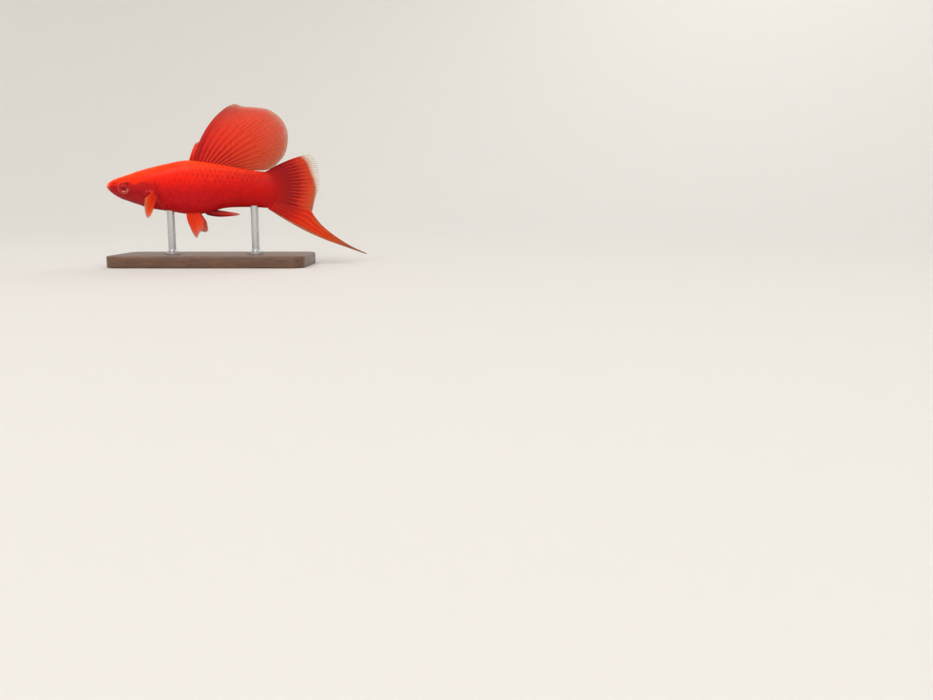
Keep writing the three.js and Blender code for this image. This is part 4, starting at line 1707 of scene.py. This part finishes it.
PECTORAL_WEB = FinMembrane(
    "fin_membrane_pectoral",
    outwards=((0.0, "#F83020"), (0.3, "#FF3C1C"), (0.6, "#FF5C1C"), (0.78, "#FF6C30"), (1.0, "#D09C88")),
    forwards=((0.0, "#FF6840"), (0.5, "#FF4814"), (1.0, "#FF4A24")),
    share=0.25,
    gaps="#CC1408",
    gap_shares=((0.1, 0.6), (0.45, 0.6), (0.7, 0.4), (0.95, 0.15)),
    glow=0.08,
    clear=((0.0, 1.0), (0.6, 0.92), (0.85, 0.7), (1.0, 0.35)),
    ray_tip="#C09080",
)
PELVIC_WEB = FinMembrane(
    "fin_membrane_pelvic",
    outwards=((0.0, "#E02010"), (0.15, "#FF360C"), (0.55, "#FF4A1C"), (0.82, "#E8704C"), (1, "#C09080")),
    forwards=((0.0, "#FF3A12"), (0.5, "#FF4818"), (1.0, "#FA5028")),
    share=0.35,
    gaps="#D02810",
    gap_shares=((0.1, 0.6), (0.5, 0.4), (0.9, 0.0)),
    clear=((0.0, 1.0), (0.4, 0.95), (0.7, 0.8), (1.0, 0.45)),
    glow=0.35,
    ray_tip="#C09080",
)
PAIRED_FINS = (
    PairedFin(
        "pectoral_fin_left", 7, 40, PECTORAL_WEB,
        root=Line(((19.5, -4.4, -2.0), (20.8, -4.15, -4.6))),
        rim=Line((
            (18, -10.2, -4.9), (18.2, -12.2, -8.4), (19.3, -12.7, -12.5),
            (20.0, -11.4, -11.9), (20.3, -9.2, -9.9), (20.4, -6.8, -6.8),
        )),
        bulge=(0.1, -0.3, -0.1),
        fray=1.3,
    ),
    PairedFin(
        "pectoral_fin_right", 7, 40, PECTORAL_WEB,
        root=Line(((19.5, 4.4, -2.0), (21.0, 4.1, -5.0))),
        rim=Line((
            (27.5, 8.6, -0.8), (31, 9.4, -2.8), (32.4, 9.3, -5.5),
            (31, 8.6, -7.6), (28, 7.4, -8.2), (24.8, 6, -7.4),
        )),
        bulge=(-0.4, 0.5, 0.4),
    ),
    PairedFin(
        "pelvic_fin_left", 6, 40, PELVIC_WEB,
        root=Line(((31.0, -1.2, -9.6), (36.0, -1.2, -9.6))),
        rim=Line((
            (32.2, -2.2, -15.0), (33.7, -3.2, -18.2), (35.4, -3.6, -20.4),
            (36.6, -3.5, -18.4), (38.2, -3.2, -17.0), (38.3, -2.7, -13.8),
        )),
        bulge=(-0.3, -0.2, 0.0),
        fray=1.1,
    ),
    PairedFin(
        "pelvic_fin_right", 6, 40, PELVIC_WEB,
        root=Line(((30.3, 1.2, -9.6), (35.4, 1.2, -9.6))),
        rim=Line((
            (30.8, 2, -15.2), (32.8, 2.8, -16.6), (35.2, 3.4, -17.9),
            (37.2, 3.6, -18.3), (38.1, 3.4, -17.5), (37.9, 2.8, -14.0),
        )),
        bulge=(0.0, 0.2, 0.0),
        fray=0.8,
    ),
)  # fmt: skip


@dataclass
class Gonopodium:
    """The male's rod-like anal fin: a few long rays bound in one stem."""

    finish: FinMembrane = FinMembrane(
        "fin_membrane_gonopodium",
        outwards=((0.0, "#7E0C14"), (0.35, "#A81418"), (0.7, "#D83A2C"), (1.0, "#E09080")),
        forwards=((0.0, "#A81218"), (1.0, "#C8261E")),
        share=0.3,
        gaps="#6E0A10",
        gap_shares=((0.3, 0.75), (1.0, 0.0)),
        clear=((0.0, 1.0), (0.8, 1.0), (1.0, 0.8)),
    )
    # place along the fish, height, half height and half width
    stations: tuple[tuple[float, float, float, float], ...] = (
        (37.6, -9.6, 1.2, 0.8),
        (40, -10.2, 1.35, 0.75),
        (43.5, -10.65, 1.35, 0.65),
        (46, -10.8, 1.12, 0.58),
        (48.5, -10.9, 0.82, 0.5),
        (50.4, -10.92, 0.55, 0.38),
        (51.9, -10.95, 0.3, 0.27),
    )
    rings: int = 90
    sides: int = 48
    grooves: int = 4

    def build(self) -> None:
        """Builds the stem."""
        up, tall, half = (Reading([(s[0], s[k]) for s in self.stations]) for k in (1, 2, 3))
        bm = bmesh.new()
        layers = [bm.verts.layers.float.new(name) for name in FinMembrane.CARRIES]
        bmesh.ops.create_grid(bm, x_segments=self.rings, y_segments=self.sides, size=0.5)
        for vert in bm.verts:
            v, turn = vert.co.x + 0.5, 2 * math.pi * vert.co.y
            at = lerp(self.stations[0][0], self.stations[-1][0], v)
            crest = 0.5 + 0.5 * math.cos(self.grooves * turn)
            close = math.sqrt(clamp(min(v, 1 - v) * 12)) * lerp(0.86, 0.97, crest)
            vert.co = (at, half(at) * math.sin(turn) * close, up(at) + tall(at) * math.cos(turn) * close)
            held = (0.5 - 0.5 * math.cos(turn), v, v, crest, 0.5 * ease(v, 0.8, 1.0))
            for layer, value in zip(layers, held):
                vert[layer] = value
        bmesh.ops.remove_doubles(bm, verts=bm.verts, dist=1e-4)
        finished("gonopodium_stem", bm, self.finish.build(), ("gonopodium",))


# Stand


@dataclass
class Stand:
    """A flat board with two short rods that hold the fish clear of the shelf."""

    length: float = 76.0
    width: float = 34.0
    height: float = 4.5
    corner: float = 5.0
    bevel: float = 0.6
    middle: float = 41.0
    rod: float = 1.5
    rod_in_belly: float = 0.6
    collar: float = 3.2
    collar_height: float = 1.2
    collar_bevel: float = 0.1
    fillet: float = 0.6
    neck: float = 0.8
    gap: float = 0.3
    rods: tuple[tuple[str, float], ...] = (("front", 24.5), ("rear", 57.5))

    def _board(self, look: Look) -> None:
        """Builds the board with rounded corners and eased edges.

        Args:
            look: its material.
        """
        bm = bmesh.new()
        bmesh.ops.create_cube(bm, size=1.0)
        bmesh.ops.scale(bm, vec=(self.length, self.width, self.height), verts=bm.verts)
        uprights = [e for e in bm.edges if abs(e.verts[0].co.z - e.verts[1].co.z) > 1]
        bmesh.ops.bevel(
            bm, geom=uprights, offset=self.corner, segments=12, profile=0.5, affect="EDGES", material=-1
        )
        level = [e for e in bm.edges if abs(e.verts[0].co.z - e.verts[1].co.z) < 1e-4]
        rims = [e for e in level if len({round(f.normal.z) for f in e.link_faces}) > 1]
        bmesh.ops.bevel(
            bm, geom=rims, offset=self.bevel, segments=4, profile=0.5, affect="EDGES", material=-1
        )
        place = (self.middle, 0.0, self.height / 2 - SNOUT_LEVEL)
        bmesh.ops.translate(bm, vec=place, verts=bm.verts)
        finished("stand_board", bm, look, ("stand_base",), crease=40.0)

    def _rod(self, name: str, at: float, look: Look) -> None:
        """Builds one rod with the turned collar at its foot.

        Args:
            name: which rod it is.
            at: place along the fish.
            look: its material.
        """
        foot = self.height - SNOUT_LEVEL
        shoulder = foot + self.gap + self.collar_height
        top = FORM.section(at).belly + self.rod_in_belly
        step = self.collar - self.rod
        profile = [
            (0.0, foot),
            (self.collar - self.collar_bevel, foot),
            (self.collar, foot + self.collar_bevel),
            *((self.collar - step * s, shoulder - self.fillet * c) for s, c in quarter(8)),
            (self.rod, shoulder + self.neck),
            (self.rod, top - self.rod_in_belly),
            (self.rod, top),
            (0.0, top),
        ]
        bm = turned(profile, 48)
        bmesh.ops.translate(bm, vec=(at, 0.0, 0.0), verts=bm.verts)
        finished(f"rod_{name}", bm, look, (f"stand_rod_{name}",), crease=35.0)

    def build(self, wood: Look, steel: Look) -> None:
        """Builds the stand.

        Args:
            wood: material of the board.
            steel: material of the rods.
        """
        self._board(wood)
        for name, at in self.rods:
            self._rod(name, at, steel)


# Studio


@dataclass(frozen=True)
class Softbox:
    """A soft light: where it stands, what it faces, its size and its power."""

    name: str
    place: tuple[float, float, float]
    aim: tuple[float, float, float]
    size: float
    watts: float
    colour: str = "#FFFFFF"

    def build(self) -> None:
        """Sets the light up."""
        data = bpy.data.lights.new(self.name, "AREA")
        data.shape, data.size, data.energy = "SQUARE", self.size, self.watts
        data.color = linear(self.colour)[:3]
        light = bpy.data.objects.new(self.name, data)
        light.location = self.place
        light.visible_camera = False
        facing = Vector(self.aim) - Vector(self.place)
        light.rotation_euler = facing.to_track_quat("-Z", "Y").to_euler()
        bpy.context.scene.collection.objects.link(light)


@dataclass
class Studio:
    """Camera, lights and the paper sweep round the model, in metres."""

    camera_place: tuple[float, float, float] = (0.09007, -0.37098, 0.02667)
    camera_pitch: float = 9.3  # degrees down
    lens: float = 36.0
    sensor: float = 36.0
    floor_radius: float = 0.38
    sweep: float = 0.9
    wall: float = 1.8
    sky: str = "#F4F6F8"
    sky_strength: float = 0.25
    lights: tuple[Softbox, ...] = (
        Softbox("overhead", (0.0, -0.1, 1.5), (0.0, 0.0, 0.0), 1.6, 10.0),
        Softbox("key", (-0.45, -0.8, 1.1), (-0.01, 0.0, 0.03), 0.6, 6.4, "#FFF6EC"),
        Softbox("front_fill", (0.2, -0.85, 0.4), (0.0, 0.0, 0.03), 0.6, 2.0),
        Softbox("rear_rim", (0.45, 0.85, 0.8), (0.0, 0.0, 0.03), 0.5, 2.6),
    )

    def _sweep(self, look: Look) -> None:
        """Builds the pale floor, which curves up into a round wall.

        Args:
            look: its material.
        """
        start, size = self.floor_radius, self.sweep
        curve = [(start + size * s, size * (1 - c)) for s, c in quarter(12)]
        bm = turned([(0.0, 0.0), *curve, (start + size, self.wall)], 96)
        for face in bm.faces:
            face.normal_update()
            if face.normal.dot(Vector((0, 0, 1)) - face.calc_center_median() * 0.5) < 0:
                face.normal_flip()
        linked("paper_sweep", bm, look)

    def build(self, paper: Look) -> None:
        """Builds the studio.

        Args:
            paper: material of the sweep.
        """
        scene = bpy.context.scene
        # the plain transform keeps the fish's saturated reds, which a film curve would wash out
        scene.view_settings.view_transform = "Standard"
        lens = bpy.data.cameras.new("camera")
        lens.sensor_width, lens.lens, lens.clip_start = self.sensor, self.lens, 0.01
        camera = bpy.data.objects.new("camera", lens)
        camera.location = self.camera_place
        camera.rotation_euler = (math.radians(90 - self.camera_pitch), 0.0, 0.0)
        scene.collection.objects.link(camera)
        scene.camera = camera
        self._sweep(paper)
        for box in self.lights:
            box.build()
        world = bpy.data.worlds.new("soft_room")
        world.use_nodes = True
        sky = world.node_tree.nodes["Background"]
        sky.inputs["Color"].default_value = linear(self.sky)
        sky.inputs["Strength"].default_value = self.sky_strength
        scene.world = world


def main() -> None:
    """Builds the studio, the fish and its stand, piece by piece."""
    logging.basicConfig(level=logging.INFO, format="%(name)s %(message)s")
    Studio().build(MattPaper().build())
    SKIN.build(WetSkin().build())
    horn = ScaleHorn().build()
    for side in Side:
        ScaleCoat().build(horn, side)
    Eye().build(Iris().build(), Cornea().build())
    for fin in (BackFin(), TailFan(), Sword(), *PAIRED_FINS, Gonopodium()):
        fin.build()
    Stand().build(OiledWalnut().build(), TurnedSteel().build())


if __name__ == "__main__":
    main()
